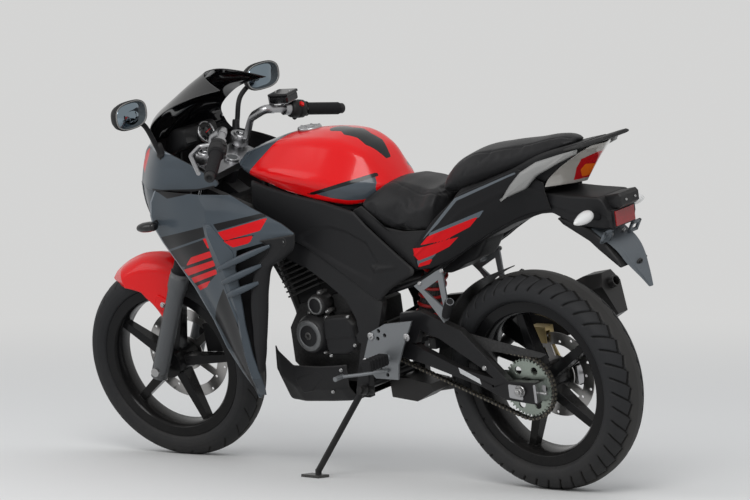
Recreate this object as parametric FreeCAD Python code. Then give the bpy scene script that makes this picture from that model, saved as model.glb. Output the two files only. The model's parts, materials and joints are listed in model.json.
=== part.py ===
import FreeCAD, Part
import math
import os
from FreeCAD import Placement, Rotation, Vector

# Sport bike leaning on its side stand. It is modelled upright, in millimetres, X forward, Y to the
# rider's left, Z up, with the rear axle above x = 0. At the end everything is leaned over, the steering
# is turned, and the whole stands with both tyres and the stand's foot on z = 0.

# Chassis geometry
wheelbase = 1370.0
caster_angle = 25.0
fork_offset = 39.0            # front axle ahead of the steering axis
fork_half_spacing = 95.0      # fork tube centre from the middle plane
lean_angle = 11.7             # parked lean to the left
steer_rest = 9.3              # parked steering angle to the left

# Wheels
front_tyre_radius = 296.0
front_tyre_half_width = 50.0
rear_tyre_radius = 305.0
rear_tyre_half_width = 65.0
rim_bed_radius = 206.0
rim_flange_radius = rim_bed_radius + 24
rim_lip = 5.0                 # rim edge left bare beside the tyre
front_rim_half_width = 41.0
rear_rim_half_width = 48.0
spoke_count = 5
front_axle_radius = 7.5
rear_axle_radius = 8.5
axle_clearance = 0.05         # radial running clearance of hubs, stem and stand pin
front_disc_radius = 138.0
rear_disc_radius = 118.0
disc_thickness = 4.0
disc_hole_count = 18

# Fork, yokes and handlebars, measured along the steering axis from the ground
slider_radius = 24.0
fork_tube_radius = 18.5
slider_bottom = 284.0
slider_top = 640.0
fork_tube_top = 1036.0
head_low = 838.0
head_high = 972.0
stem_radius = 14.0
head_radius = 27.0
yoke_gap = 0.4                # yokes to head tube
yoke_thickness = 24.0
cheek_face = 65.0             # outer face of the front fender's cheeks, bolted to the sliders' lugs
handlebar_radius = 11.0
grip_radius = 17.0
grip_length = 120.0

# Chain drive
chain_pitch = 12.7
rear_teeth = 43
front_teeth = 15
chain_y = 78.0
chain_half_width = 8.0
plate_half_height = 5.6       # link plate at its pins
sprocket_clearance = 0.6
sprocket_thickness = 6.0

# Frame and swingarm
pivot_x = 518.0
pivot_z = 434.0
spar_inner = 113.0
spar_outer = 135.0
arm_inner = 89.0
arm_outer = 112.0
wall = 4.0                    # moulded body panels
screen_wall = 3.0
side_gap = 0.4                # between pieces that seat on each other

# Side stand
stand_pivot = Vector(528.0, 153.0, 288.0)
stand_foot = Vector(676.0, 222.0, 45.0)
stand_folded = Vector(-0.985, 0.08, -0.15)    # the leg's way when it is folded back
stand_radius = 9.0
stand_pin_radius = 6.0


# Shapes


def polygon(points):
    corners = [Vector(*point) for point in points]
    return Part.makePolygon(corners + [corners[0]])


def prism(outline, y_low, y_high):
    """Outline of (x, z) points, extruded across the bike."""
    face = Part.Face(polygon([(x, y_low, z) for x, z in outline]))
    return face.extrude(Vector(0, y_high - y_low, 0))


def loft(sections):
    """Ruled solid through closed sections of as many points each."""
    return Part.makeLoft([polygon(section) for section in sections], True, True)


def cylinder(start, end, radius):
    start = Vector(start)
    end = Vector(end)
    return Part.makeCylinder(radius, (end - start).Length, start, end - start)


def ring(start, end, outer, inner):
    return cylinder(start, end, outer).cut(cylinder(start, end, inner))


def box(x_low, x_high, y_low, y_high, z_low, z_high):
    return Part.makeBox(x_high - x_low, y_high - y_low, z_high - z_low, Vector(x_low, y_low, z_low))


def mirrored(shape):
    return shape.mirror(Vector(0, 0, 0), Vector(0, 1, 0))


def both_sides(shape):
    return Part.makeCompound([shape, mirrored(shape)])


def fuse(shapes):
    result = shapes[0].multiFuse(shapes[1:])
    return result.removeSplitter()


def bent_path(points, bend_radius):
    """Straight runs joined by tangent arcs."""
    corners = [Vector(point) for point in points]
    edges = []
    start = corners[0]
    for before, corner, after in zip(corners, corners[1:], corners[2:]):
        way_in = (corner - before).normalize()
        way_out = (after - corner).normalize()
        turn = way_in.getAngle(way_out)
        reach = bend_radius * math.tan(turn / 2)
        arc_start = corner - way_in * reach
        arc_end = corner + way_out * reach
        inward = (way_out - way_in).normalize()
        centre = corner + inward * (bend_radius / math.cos(turn / 2))
        arc_middle = centre - inward * bend_radius
        edges.append(Part.LineSegment(start, arc_start).toShape())
        edges.append(Part.Arc(arc_start, arc_middle, arc_end).toShape())
        start = arc_end
    edges.append(Part.LineSegment(start, corners[-1]).toShape())
    return Part.Wire(edges)


def tube(points, radius, bend_radius):
    path = bent_path(points, bend_radius)
    first = Vector(points[1]) - Vector(points[0])
    circle = Part.Wire(Part.makeCircle(radius, Vector(points[0]), first))
    return path.makePipeShell([circle], True, False)


def revolved(profile, centre_x, centre_z):
    """Profile of (radius, y) points, turned about the wheel's axle."""
    face = Part.Face(polygon([(centre_x + radius, y, centre_z) for radius, y in profile]))
    return face.revolve(Vector(centre_x, 0, centre_z), Vector(0, 1, 0), 360)


def axle_hole(shape, centre_x, centre_z, radius, half_length):
    return shape.cut(cylinder((centre_x, -half_length, centre_z), (centre_x, half_length, centre_z), radius))


def arch(x, z_low, half_low, z_mid, half_mid, z_top, half_top, crown):
    """Closed section across the bike: flat below, leaning sides, round shoulders and a crowned top."""
    def at(y, z):
        return Vector(x, y, z)
    shoulder_y = (half_mid + half_top) / 2 + (half_mid - half_top) * 0.16
    shoulder_z = (z_mid + z_top - crown) / 2 + (z_top - crown - z_mid) * 0.14
    edges = [
        Part.LineSegment(at(-half_low, z_low), at(half_low, z_low)).toShape(),
        Part.LineSegment(at(half_low, z_low), at(half_mid, z_mid)).toShape(),
        Part.Arc(at(half_mid, z_mid), at(shoulder_y, shoulder_z), at(half_top, z_top - crown)).toShape(),
        Part.Arc(at(half_top, z_top - crown), at(0, z_top), at(-half_top, z_top - crown)).toShape(),
        Part.Arc(at(-half_top, z_top - crown), at(-shoulder_y, shoulder_z), at(-half_mid, z_mid)).toShape(),
        Part.LineSegment(at(-half_mid, z_mid), at(-half_low, z_low)).toShape(),
    ]
    return Part.Wire(edges)


def arch_body(rows):
    return Part.makeLoft([arch(*row) for row in rows], True, True)


def seated(shape, against):
    """The largest piece of a shape that is left outside its neighbours."""
    rest = shape.cut(Part.makeCompound(against))
    return max(rest.Solids, key=lambda solid: solid.Volume)


def fork_frame(shape):
    """From the fork's own frame, x ahead of the steering axis and z along it, to the bike."""
    turned = Rotation(Vector(0, 1, 0), -caster_angle)
    return shape.transformed(Placement(steer_ground, turned).toMatrix())


def fork_point(ahead, side, along):
    turned = Rotation(Vector(0, 1, 0), -caster_angle)
    return steer_ground + turned.multVec(Vector(ahead, side, along))


# Steering axis and the parked pose

caster = math.radians(caster_angle)
trail = (front_tyre_radius * math.sin(caster) - fork_offset) / math.cos(caster)
steer_ground = Vector(wheelbase + trail, 0, 0)
steer_direction = Vector(-math.sin(caster), 0, math.cos(caster))
axle_along = front_tyre_radius * math.cos(caster) + trail * math.sin(caster)
front_axle_z = front_tyre_radius
rear_axle_z = rear_tyre_radius
steering = Placement(Vector(0, 0, 0), Rotation(steer_direction, steer_rest), steer_ground)


def tyre_profile(radius, half_width, bed_half_width):
    """Tread and shoulders as flats round the crown's arc, and straight sidewalls down to the rim."""
    tread_angle = math.radians(20)
    shoulder_angle = math.radians(55)
    crown_radius = half_width / math.sin(shoulder_angle)
    outer = []
    for turn in (-shoulder_angle, -tread_angle, tread_angle, shoulder_angle):
        outer.append((radius - crown_radius * (1 - math.cos(turn)), crown_radius * math.sin(turn)))
    foot_y = bed_half_width - rim_lip
    foot_radius = rim_flange_radius + side_gap
    return outer + [(foot_radius, foot_y), (foot_radius, -foot_y)]


front_profile = tyre_profile(front_tyre_radius, front_tyre_half_width, front_rim_half_width)
rear_profile = tyre_profile(rear_tyre_radius, rear_tyre_half_width, rear_rim_half_width)


def lowest(centre, axle, profile):
    """Height of the lowest point of a turned profile."""
    level = math.sqrt(1 - axle.z * axle.z)
    return centre.z + min(-radius * level - abs(y * axle.z) for radius, y in profile)


def lean_rotation(pitch):
    return Rotation(Vector(1, 0, 0), -lean_angle) * Rotation(Vector(0, 1, 0), pitch)


def contacts(pitch):
    leaning = lean_rotation(pitch)
    rear = lowest(leaning.multVec(Vector(0, 0, rear_axle_z)), leaning.multVec(Vector(0, 1, 0)), rear_profile)
    front_centre = leaning.multVec(steering.multVec(Vector(wheelbase, 0, front_axle_z)))
    front_axis = leaning.multVec(steering.Rotation.multVec(Vector(0, 1, 0)))
    return rear, lowest(front_centre, front_axis, front_profile)


def parked_pitch():
    low = -3.0
    high = 3.0
    for _ in range(50):
        middle = (low + high) / 2
        rear, front = contacts(middle)
        if front > rear:
            low = middle
        else:
            high = middle
    return (low + high) / 2


pitch_angle = parked_pitch()
parked = Placement(Vector(0, 0, -contacts(pitch_angle)[0]), lean_rotation(pitch_angle))

nodes = {}
bodies = {}


def keep(name, shape, body="root"):
    nodes[name] = shape
    bodies.setdefault(body, []).append(name)


# Wheels


def cast_rim(centre_x, centre_z, half_width, hub_half_width, axle_radius, first_angle):
    """Rim ring with chamfered inner edges, tapered spokes and a hub with raised ends."""
    ring_profile = [
        (rim_flange_radius, half_width), (rim_flange_radius, -half_width),
        (rim_bed_radius - 4, -half_width), (rim_bed_radius - 12, 12 - half_width),
        (rim_bed_radius - 12, half_width - 12), (rim_bed_radius - 4, half_width),
    ]
    pieces = [revolved(ring_profile, centre_x, centre_z)]
    hub = cylinder((centre_x, -hub_half_width, centre_z), (centre_x, hub_half_width, centre_z), 42)
    pieces.append(hub)
    for index in range(spoke_count):
        inner_half = 15.0
        outer_half = 11.0
        spoke = loft([
            [(30, -24, -inner_half), (30, 24, -inner_half), (30, 24, inner_half), (30, -24, inner_half)],
            [(rim_bed_radius - 9, -13, -outer_half), (rim_bed_radius - 9, 13, -outer_half),
             (rim_bed_radius - 9, 13, outer_half), (rim_bed_radius - 9, -13, outer_half)],
        ])
        angle = first_angle + 360.0 / spoke_count * index
        turned = Rotation(Vector(0, 1, 0), -angle)
        pieces.append(spoke.transformed(Placement(Vector(centre_x, 0, centre_z), turned).toMatrix()))
    rim = fuse(pieces)
    return axle_hole(rim, centre_x, centre_z, axle_radius + axle_clearance, 200)


def brake_disc(centre_x, centre_z, y_middle, outer, bolt_circle):
    """Drilled ring on a five-armed carrier."""
    y_low = y_middle - disc_thickness / 2
    y_high = y_middle + disc_thickness / 2
    band = ring((centre_x, y_low, centre_z), (centre_x, y_high, centre_z), outer, outer - 34)
    carrier = ring((centre_x, y_low, centre_z), (centre_x, y_high, centre_z), bolt_circle + 12, bolt_circle - 10)
    pieces = [band, carrier]
    for index in range(spoke_count):
        arm = box(bolt_circle, outer - 28, y_low, y_high, -11, 11)
        turned = Rotation(Vector(0, 1, 0), -360.0 / spoke_count * index)
        pieces.append(arm.transformed(Placement(Vector(centre_x, 0, centre_z), turned).toMatrix()))
    disc = fuse(pieces)
    drills = []
    for index in range(disc_hole_count):
        angle = math.tau / disc_hole_count * index
        reach = outer - 17 + 8 * (-1) ** index
        place = (centre_x + reach * math.cos(angle), y_low - 1, centre_z + reach * math.sin(angle))
        drills.append(cylinder(place, (place[0], y_high + 1, place[2]), 4.0))
    return disc.cut(Part.makeCompound(drills))


front_hub_half = 52.0
rear_hub_half = 58.0
front_disc_y = -(front_hub_half + disc_thickness / 2)
rear_disc_y = -(rear_hub_half + disc_thickness / 2)
keep("front_tyre", revolved(front_profile, wheelbase, front_axle_z), "front_wheel")
front_rim = cast_rim(wheelbase, front_axle_z, front_rim_half_width, front_hub_half, front_axle_radius, 34)
keep("front_rim", front_rim, "front_wheel")
keep("front_disc", brake_disc(wheelbase, front_axle_z, front_disc_y, front_disc_radius, 40), "front_wheel")
keep("rear_tyre", revolved(rear_profile, 0, rear_axle_z), "rear_wheel")
keep("rear_rim", cast_rim(0, rear_axle_z, rear_rim_half_width, rear_hub_half, rear_axle_radius, 1.5), "rear_wheel")
keep("rear_disc", brake_disc(0, rear_axle_z, rear_disc_y, rear_disc_radius, 40), "rear_wheel")

# Chain drive

rear_pitch_radius = chain_pitch / (2 * math.sin(math.pi / rear_teeth))
front_pitch_radius = chain_pitch / (2 * math.sin(math.pi / front_teeth))
countershaft = Vector(600.0, 0, 448.0)
rear_centre = Vector(0, 0, rear_axle_z)


def chain_track(offset):
    """Outline points on one edge of the chain: one at every pin round both sprockets, straight runs between."""
    span = countershaft - rear_centre
    run_angle = math.atan2(span.z, span.x)
    lift = math.asin((rear_pitch_radius - front_pitch_radius) / span.Length)
    arcs = (
        # centre, pitch radius, angle of its first pin, sweep
        (rear_centre, rear_pitch_radius, run_angle - lift + math.pi / 2, math.pi + 2 * lift),
        (countershaft, front_pitch_radius, run_angle + lift - math.pi / 2, math.pi - 2 * lift),
    )
    points = []
    for centre, radius, first, sweep in arcs:
        links = math.ceil(sweep * radius / chain_pitch)
        for pin in range(links + 1):
            angle = first + sweep * pin / links
            outward = Vector(math.cos(angle), 0, math.sin(angle))
            points.append(centre + outward * (radius + offset * plate_half_height))
    return [(point.x, point.z) for point in points]


chain_outer = prism(chain_track(1), chain_y - chain_half_width, chain_y + chain_half_width)
chain_inner = prism(chain_track(-1), chain_y - chain_half_width, chain_y + chain_half_width)
keep("drive_chain", chain_outer.cut(chain_inner))

tooth_tip = rear_pitch_radius - plate_half_height - sprocket_clearance
tooth_root = tooth_tip - 7.0
teeth = []
for tooth in range(rear_teeth):
    for share, reach in ((-0.30, tooth_root), (-0.10, tooth_tip), (0.10, tooth_tip), (0.30, tooth_root)):
        angle = math.tau * (tooth + share) / rear_teeth
        teeth.append((reach * math.cos(angle), rear_axle_z + reach * math.sin(angle)))
sprocket_y = (chain_y - sprocket_thickness / 2, chain_y + sprocket_thickness / 2)
sprocket = prism(teeth, *sprocket_y)
sprocket = axle_hole(sprocket, 0, rear_axle_z, 30, 200)
slots = []
for index in range(6):
    angle = math.tau * index / 6
    middle = Vector(54 * math.cos(angle), 0, rear_axle_z + 54 * math.sin(angle))
    slots.append(cylinder((middle.x, 0, middle.z), (middle.x, 200, middle.z), 11))
sprocket = sprocket.cut(Part.makeCompound(slots))
carrier = ring((0, rear_hub_half, rear_axle_z), (0, sprocket_y[0], rear_axle_z), 42, 22)
keep("rear_sprocket", fuse([sprocket, carrier]), "rear_wheel")

# Frame, swingarm and axle

head_axis = (fork_point(0, 0, head_low), fork_point(0, 0, head_high))
spar_outline = [
    (1040, 800), (1030, 850), (880, 800), (700, 722), (645, 695), (546, 628), (440, 560), (429, 535),
    (451, 474), (483, 416), (515, 340), (520, 262), (572, 262), (552, 336), (527, 414), (532, 485), (559, 541),
    (624, 587), (691, 628), (880, 690), (1000, 745),
]
spar = prism(spar_outline, spar_inner, spar_outer)
pivot_tube_radius = 20.0
lower_tube_x = 545.0
lower_tube_radius = 13.0
cross_members = [
    box(955, 1030, -spar_outer, spar_outer, 770, 812),
    box(850, 872, -spar_outer, spar_outer, 765, 790),
    cylinder((pivot_x, -spar_outer, pivot_z), (pivot_x, spar_outer, pivot_z), pivot_tube_radius),
    cylinder((470, -spar_outer, 560), (470, spar_outer, 560), 15),
    cylinder((lower_tube_x, -spar_outer, 290), (lower_tube_x, spar_outer, 290), lower_tube_radius),
    cylinder((486, -96, 756), (486, 96, 756), 10),
]
head_gusset = prism([(1010, 770), (1010, 812), (1088, 862), (1110, 790), (1095, 765)], -26, 26)
frame_parts = [spar, mirrored(spar), head_gusset, cylinder(*head_axis, head_radius)] + cross_members
tank_bottom_front = 880.0
tank_bottom_rear = 845.0
for side in (1, -1):
    rail = tube([(790, 118 * side, 742), (500, 96 * side, 756), (400, 92 * side, 722), (360, 90 * side, 704)],
                11, 60)
    frame_parts.append(rail)
    frame_parts.append(cylinder((861, 70 * side, 788), (861, 70 * side, tank_bottom_front - side_gap), 9))
    frame_parts.append(cylinder((486, 60 * side, 756), (486, 60 * side, tank_bottom_rear - side_gap), 8))
    frame_parts.append(cylinder((361, 90 * side, 704), (470, 104 * side, 560), 10))
cockpit_stay_x = wheelbase - 170.0
frame_parts.append(cylinder(fork_point(0, 0, 905), (cockpit_stay_x, 0, 884), 10))
frame_parts.append(cylinder((cockpit_stay_x, -156, 884), (cockpit_stay_x, 156, 884), 8))
for side in (1, -1):
    frame_parts.append(cylinder((cockpit_stay_x, 44 * side, 884), (cockpit_stay_x, 44 * side, 936), 6))
frame = fuse(frame_parts)
frame = frame.cut(cylinder(fork_point(0, 0, head_low - 60), fork_point(0, 0, head_high + 60),
                           stem_radius + axle_clearance))

subframe_tubes = []
for side in (1, -1):
    upper = [(372, 92 * side, 698), (330, 90 * side, 702), (80, 80 * side, 800), (-128, 68 * side, 868)]
    lower = [(450, 100 * side, 556), (300, 94 * side, 600), (60, 86 * side, 745), (0, 82 * side, 826)]
    subframe_tubes.append(tube(upper, 12, 30))
    subframe_tubes.append(tube(lower, 10, 50))
subframe_tubes.append(cylinder((80, -80, 800), (80, 80, 800), 10))
shock_top = Vector(300.0, 0, 706.0)
subframe_tubes.append(cylinder((shock_top.x, -90, shock_top.z), (shock_top.x, 90, shock_top.z), 10))
subframe_tubes.append(cylinder((-110, -70, 850), (-110, 70, 850), 10))
subframe_tubes.append(cylinder((-128, -74, 868), (-128, 74, 868), 10))
subframe = fuse(subframe_tubes)
keep("subframe", seated(subframe, [frame]))

arm_outline = [
    (545, 452), (500, 472), (374, 424), (204, 356), (60, 328), (-49, 330), (-49, 268), (57, 276), (132, 308),
    (344, 366), (500, 398), (545, 418),
]
brace_outline = [(400, 424), (392, 503), (319, 512), (247, 487), (187, 465), (40, 328), (70, 318), (112, 352),
                 (261, 436), (327, 458), (345, 420)]
arm = fuse([prism(arm_outline, arm_inner, arm_outer), prism(brace_outline, arm_inner, arm_outer)])
arm_cross = box(415, 480, -arm_inner - 5, arm_inner + 5, 390, 438)
swingarm = fuse([arm, mirrored(arm), arm_cross])
swingarm = axle_hole(swingarm, pivot_x, pivot_z, pivot_tube_radius + side_gap, 200)
swingarm = axle_hole(swingarm, 0, rear_axle_z, rear_axle_radius + side_gap, 200)
spool_x = 96.0
spool_z = 312.0
spool_radius = 4.0
swingarm = axle_hole(swingarm, spool_x, spool_z, spool_radius, 200)
keep("swingarm", swingarm)
rear_axle = fuse([
    cylinder((0, -arm_outer - 12, rear_axle_z), (0, arm_outer + 12, rear_axle_z), rear_axle_radius),
    cylinder((0, arm_outer + side_gap, rear_axle_z), (0, arm_outer + 12, rear_axle_z), 14),
    cylinder((0, -arm_outer - 12, rear_axle_z), (0, -arm_outer - side_gap, rear_axle_z), 14),
])
keep("rear_axle", rear_axle)

# Engine and exhaust

case_outline = [
    (lower_tube_x + lower_tube_radius + side_gap, 290), (600, 284), (800, 284), (850, 330), (850, 430), (800, 500),
    (640, 540), (lower_tube_x + lower_tube_radius + side_gap, 500),
]
case_left = 62.0
case_right = -96.0
engine_case = prism(case_outline, case_right, case_left)
clutch_cover = cylinder((680, -128, 436), (680, case_right, 436), 74)
keep("engine_case", fuse([engine_case, clutch_cover]))
alternator_cover = fuse([
    cylinder((723, case_left + side_gap, 428), (723, 132, 428), 55),
    cylinder((705, case_left + side_gap, 508), (705, 112, 508), 29),
])
cover_plate = prism([(664, 474), (580, 490), (556, 410), (590, 380), (664, 372)], 90, 122)
cover_skirt = box(648, 664, case_left + side_gap, 92, 374, 472)
keep("engine_covers", Part.makeCompound([alternator_cover, fuse([cover_plate, cover_skirt])]))

# The cylinder leans forward; its pieces are set along its own axis
cylinder_foot = Vector(745.0, 0, 470.0)
cylinder_tilt = 20.0
fin_count = 8
fin_pitch = 15.0
cylinder_parts = [
    box(-50, 50, -50, 50, 0, 190),
    box(-62, 62, -68, 68, 190, 248),
    box(-46, 46, -56, 56, 248, 272),
]
for index in range(fin_count):
    fin_low = 76 + fin_pitch * index
    cylinder_parts.append(box(-66, 66, -72, 72, fin_low, fin_low + 5))
cylinder_place = Placement(cylinder_foot, Rotation(Vector(0, 1, 0), cylinder_tilt))
engine_cylinder = fuse(cylinder_parts).transformed(cylinder_place.toMatrix())
engine_cylinder = seated(engine_cylinder, [nodes["engine_case"]])
keep("engine_cylinder", engine_cylinder)
exhaust_points = [(870, 0, 648), (915, -8, 620), (884, -30, 460), (872, -46, 264), (780, -50, 264), (574, -60, 264)]
header = tube(exhaust_points, 17, 45)
collector = prism([(580, 274), (578, 216), (487, 208), (424, 240), (430, 262), (520, 274)], -108, -24)
link_points = [(470, -90, 238), (400, -124, 244), (325, -165, 306), (225, -165, 382)]
link_pipe = tube(link_points, 17, 40)
exhaust_pipe = fuse([header, collector, link_pipe])
keep("exhaust_pipe", seated(exhaust_pipe, [engine_cylinder]))


def muffler_section(along, width, height, drop):
    """Six-sided section across the muffler's axis, narrower below."""
    low = -height / 2
    high = height / 2
    return [(along, -width / 2, high - drop), (along, -width / 4, high), (along, width / 4, high),
            (along, width / 2, high - drop), (along, width / 4, low), (along, -width / 4, low)]


muffler_body = loft([
    muffler_section(0, 44, 50, 14), muffler_section(60, 88, 110, 30),
    muffler_section(330, 104, 140, 40), muffler_section(390, 84, 120, 36),
])
outlet = ring((385, 0, 26), (410, 0, 26), 16, 12)
muffler_place = Placement(Vector(225, -165, 382), Rotation(Vector(0, 0, 1), 180) * Rotation(Vector(0, 1, 0), -20))
muffler = fuse([muffler_body, outlet]).transformed(muffler_place.toMatrix())
keep("muffler", seated(muffler, [nodes["exhaust_pipe"]]))
belly_tray = loft([
    [(x, -top, high), (x, -mid, high - 70 * share), (x, -low_half, low), (x, low_half, low),
     (x, mid, high - 70 * share), (x, top, high),
     (x, top - wall, high), (x, mid - wall, high - 70 * share + 2), (x, low_half - wall / 2, low + wall),
     (x, -low_half + wall / 2, low + wall), (x, -mid + wall, high - 70 * share + 2), (x, -top + wall, high)]
    for x, top, mid, low_half, low, high, share in (
        (600, 128, 128, 92, 240, 350, 1.0), (634, 130, 131, 94, 233, 344, 1.0),
        (801, 128, 130, 96, 222, 336, 1.0), (864, 114, 118, 84, 222, 376, 1.0), (892, 90, 96, 60, 248, 382, 1.0))
])
belly_posts = [cylinder((x, y, low), (x, y, 284 - side_gap), 7) for x, low in ((660, 232), (780, 224))
               for y in (20, -86)]
keep("belly_pan", fuse([belly_tray] + belly_posts))

# Tank and seats

tank_rows = (
    (935, 905, 58, 915, 88, 938, 48, 6), (880, 884, 108, 902, 136, 962, 74, 10),
    (861, 880, 112, 901, 141, 968, 76, 11),
    (800, 868, 128, 900, 160, 988, 86, 12), (670, 844, 134, 890, 166, 1003, 94, 14),
    (560, 838, 118, 880, 150, 998, 88, 14), (480, 846, 96, 872, 124, 962, 74, 12),
    (418, 852, 60, 860, 88, 884, 50, 6),
)


def tank_top(x):
    for front, rear in zip(tank_rows, tank_rows[1:]):
        if front[0] >= x >= rear[0]:
            share = (front[0] - x) / (front[0] - rear[0])
            return front[5] + share * (rear[5] - front[5])
    return tank_rows[0][5]


cap_radius = 34.0
cap_x = 728.0
cap_seat_z = tank_top(cap_x) - 6
tank_wall = 3.0
hollow_rows = []
for x, z_low, half_low, z_mid, half_mid, z_top, half_top, crown in tank_rows[1:-1]:
    hollow_rows.append((x, z_low + tank_wall, half_low - 4, z_mid, half_mid - tank_wall, z_top - tank_wall,
                        half_top - 1, crown))
filler_neck = ring((cap_x, 0, cap_seat_z - 30), (cap_x, 0, cap_seat_z + 4), cap_radius + 5, cap_radius - 6)
tank = fuse([arch_body(tank_rows).cut(arch_body(hollow_rows)), filler_neck])
tank = tank.cut(cylinder((cap_x, 0, cap_seat_z), (cap_x, 0, cap_seat_z + 30), cap_radius + side_gap))
keep("fuel_tank", tank)
keep("tank_cap", cylinder((cap_x, 0, cap_seat_z + side_gap), (cap_x, 0, cap_seat_z + 12), cap_radius))
rider_rows = (
    (480, 800, 40, 806, 60, 815, 40, 3), (410, 752, 100, 790, 112, 847, 66, 8),
    (340, 738, 112, 790, 128, 853, 92, 8), (270, 738, 118, 796, 134, 849, 104, 8),
    (214.4, 752, 112, 806, 130, 852, 104, 8),
)
keep("rider_seat", seated(arch_body(rider_rows), [frame, nodes["subframe"]]))
pillion_rows = (
    (214, 832, 70, 838, 84, 850, 66, 4), (190, 838, 84, 860, 100, 892, 72, 8),
    (107, 856, 96, 890, 112, 950, 84, 12), (19, 884, 92, 915, 104, 966, 78, 12),
    (-84, 918, 74, 940, 84, 978, 62, 10), (-152, 944, 54, 956, 62, 986, 44, 8),
    (-217, 966, 30, 970, 36, 982, 24, 4),
)
keep("pillion_seat", arch_body(pillion_rows))

# Tail


def panel(rows):
    """Thin moulded side panel: rows of x, lower and upper height, and the outer face's three widths."""
    sections = []
    for x, low, high, y_low, y_mid, y_high in rows:
        middle = (low + high) / 2
        sections.append([
            (x, y_low, low), (x, y_mid, middle), (x, y_high, high),
            (x, y_high - wall, high), (x, y_mid - wall, middle), (x, y_low - wall, low),
        ])
    return loft(sections)


tail_rows = (
    (292, 640, 694, 124, 132, 136), (200, 690, 782, 122, 136, 140), (110, 742, 848, 112, 128, 134),
    (20, 806, 874, 98, 112, 118), (-70, 900, 908, 88, 94, 96),
)
cowl_boss = cylinder((110, 84, 787), (110, 124, 790), 7)
tail_cowl = seated(fuse([panel(tail_rows), cowl_boss]), [nodes["subframe"]])
keep("tail_cowls", both_sides(tail_cowl))
rail_outline = [
    (-9, 824), (-50, 871), (-89, 906), (-144, 934), (-229, 956), (-300, 969), (-338, 994), (-352, 989),
    (-321, 965), (-300, 956), (-225, 930), (-138, 896), (-99, 861), (-28, 835),
]
rail_bar = prism(rail_outline, 98, 118)
spoiler = prism([(-262, 984), (-282, 990), (-333, 1001), (-352, 1000), (-352, 988), (-321, 984), (-270, 972)],
                -118, 118)
rail_boss = cylinder((-112, 72, 862), (-112, 104, 892), 8)
grab_rail = fuse([rail_bar, mirrored(rail_bar), spoiler, rail_boss, mirrored(rail_boss)])
keep("grab_rail", seated(grab_rail, [nodes["subframe"]]))
lamp_rows = (
    (-143, 866, 872, 92), (-211, 872, 918, 84), (-265, 880, 940, 74), (-320, 934, 962, 62), (-344, 966, 972, 56),
)
lamp_body = loft([[(x, -half, low), (x, half, low), (x, half - 6, high), (x, -half + 6, high)]
                  for x, low, high, half in lamp_rows])
lamp_foot = box(-168, -138 - side_gap, -40, 40, 862, 874)
keep("tail_lamp", fuse([lamp_body, lamp_foot]))
undertail_rows = (
    (220, 652, 694, 60), (120, 698, 735, 62), (0, 752, 800, 64), (-98, 781, 840 - side_gap, 64),
    (-139, 785, 840 - side_gap, 66), (-210, 752, 834, 68), (-309, 744, 831, 64), (-322, 746, 788, 60),
)
keep("undertail", loft([
    [(x, -half, high), (x, -half, low), (x, half, low), (x, half, high),
     (x, half - wall, high), (x, half - wall, low + wall), (x, wall - half, low + wall), (x, wall - half, high)]
    for x, low, high, half in undertail_rows]))
holder = loft([
    [(-165, -56, 772), (-165, 56, 772), (-268, 62, 746.6), (-268, -62, 746.6)],
    [(-273, -56, 660), (-273, 56, 660), (-365, 58, 700), (-365, -58, 700)],
    [(-350, -12, 578), (-350, 12, 578), (-392, 10, 575), (-392, -10, 575)],
])
keep("plate_holder", seated(holder, [nodes["undertail"]]))
signal = fuse([
    cylinder((-290, 62, 778), (-284, 104, 788), 6),
    Part.makeSphere(19, Vector(-280, 118, 791)),
])
signal = seated(signal, [nodes["undertail"]])
keep("rear_signals", both_sides(signal))

# Front cowl, screen and lamps


def nose_section(z, nose, shoulder_x, shoulder_y, side_x, side_y, rear_x, rear_y):
    outer = [(rear_x, rear_y), (side_x, side_y), (shoulder_x, shoulder_y), (nose, 0)]
    inner = [(rear_x, rear_y - wall), (side_x - 2, side_y - wall), (shoulder_x - wall, shoulder_y - 2),
             (nose - wall, 0)]
    left = outer[:-1]
    right = [(x, -y) for x, y in reversed(left)]
    inner_left = inner[:-1]
    inner_right = [(x, -y) for x, y in reversed(inner_left)]
    loop = left + [outer[-1]] + right + list(reversed(inner_right)) + [inner[-1]] + list(reversed(inner_left))
    return [(x, y, z) for x, y in loop]


cowl_rows = (
    (848, 1372, 1320, 92, 1200, 170, 1050, 186), (868, 1366, 1312, 93, 1190, 173, 940, 196),
    (915, 1350, 1295, 90, 1168, 170, 998, 188), (945, 1336, 1280, 86, 1160, 164, 1085, 176),
    (962, 1318, 1262, 82, 1182, 146, 1150, 160),
)
keep("upper_cowl", loft([nose_section(*row) for row in cowl_rows]))
chin_rows = ((716, 1352, 1308, 70, 1272, 112, 1240, 132), (780, 1374, 1326, 80, 1276, 124, 1240, 144),
             (847.6, 1372, 1320, 91, 1262, 136, 1222, 152))
keep("headlamp", loft([nose_section(*row) for row in chin_rows]))


def screen_section(edge_x, edge_y, edge_z, middle_x, middle_z):
    """Arc across the bike with its wall, in the plane of its two edges and its middle."""
    edge = Vector(edge_x, 0, edge_z)
    middle = Vector(middle_x, 0, middle_z)
    side = Vector(0, edge_y, 0)
    inner_side = Vector(0, edge_y - screen_wall, 0)
    inner_middle = middle + (edge - middle).normalize() * screen_wall
    outer = Part.Arc(edge + side, middle, edge - side).toShape()
    inner = Part.Arc(edge - inner_side, inner_middle, edge + inner_side).toShape()
    right = Part.LineSegment(edge - side, edge - inner_side).toShape()
    left = Part.LineSegment(edge + inner_side, edge + side).toShape()
    return Part.Wire([outer, right, inner, left])


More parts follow.
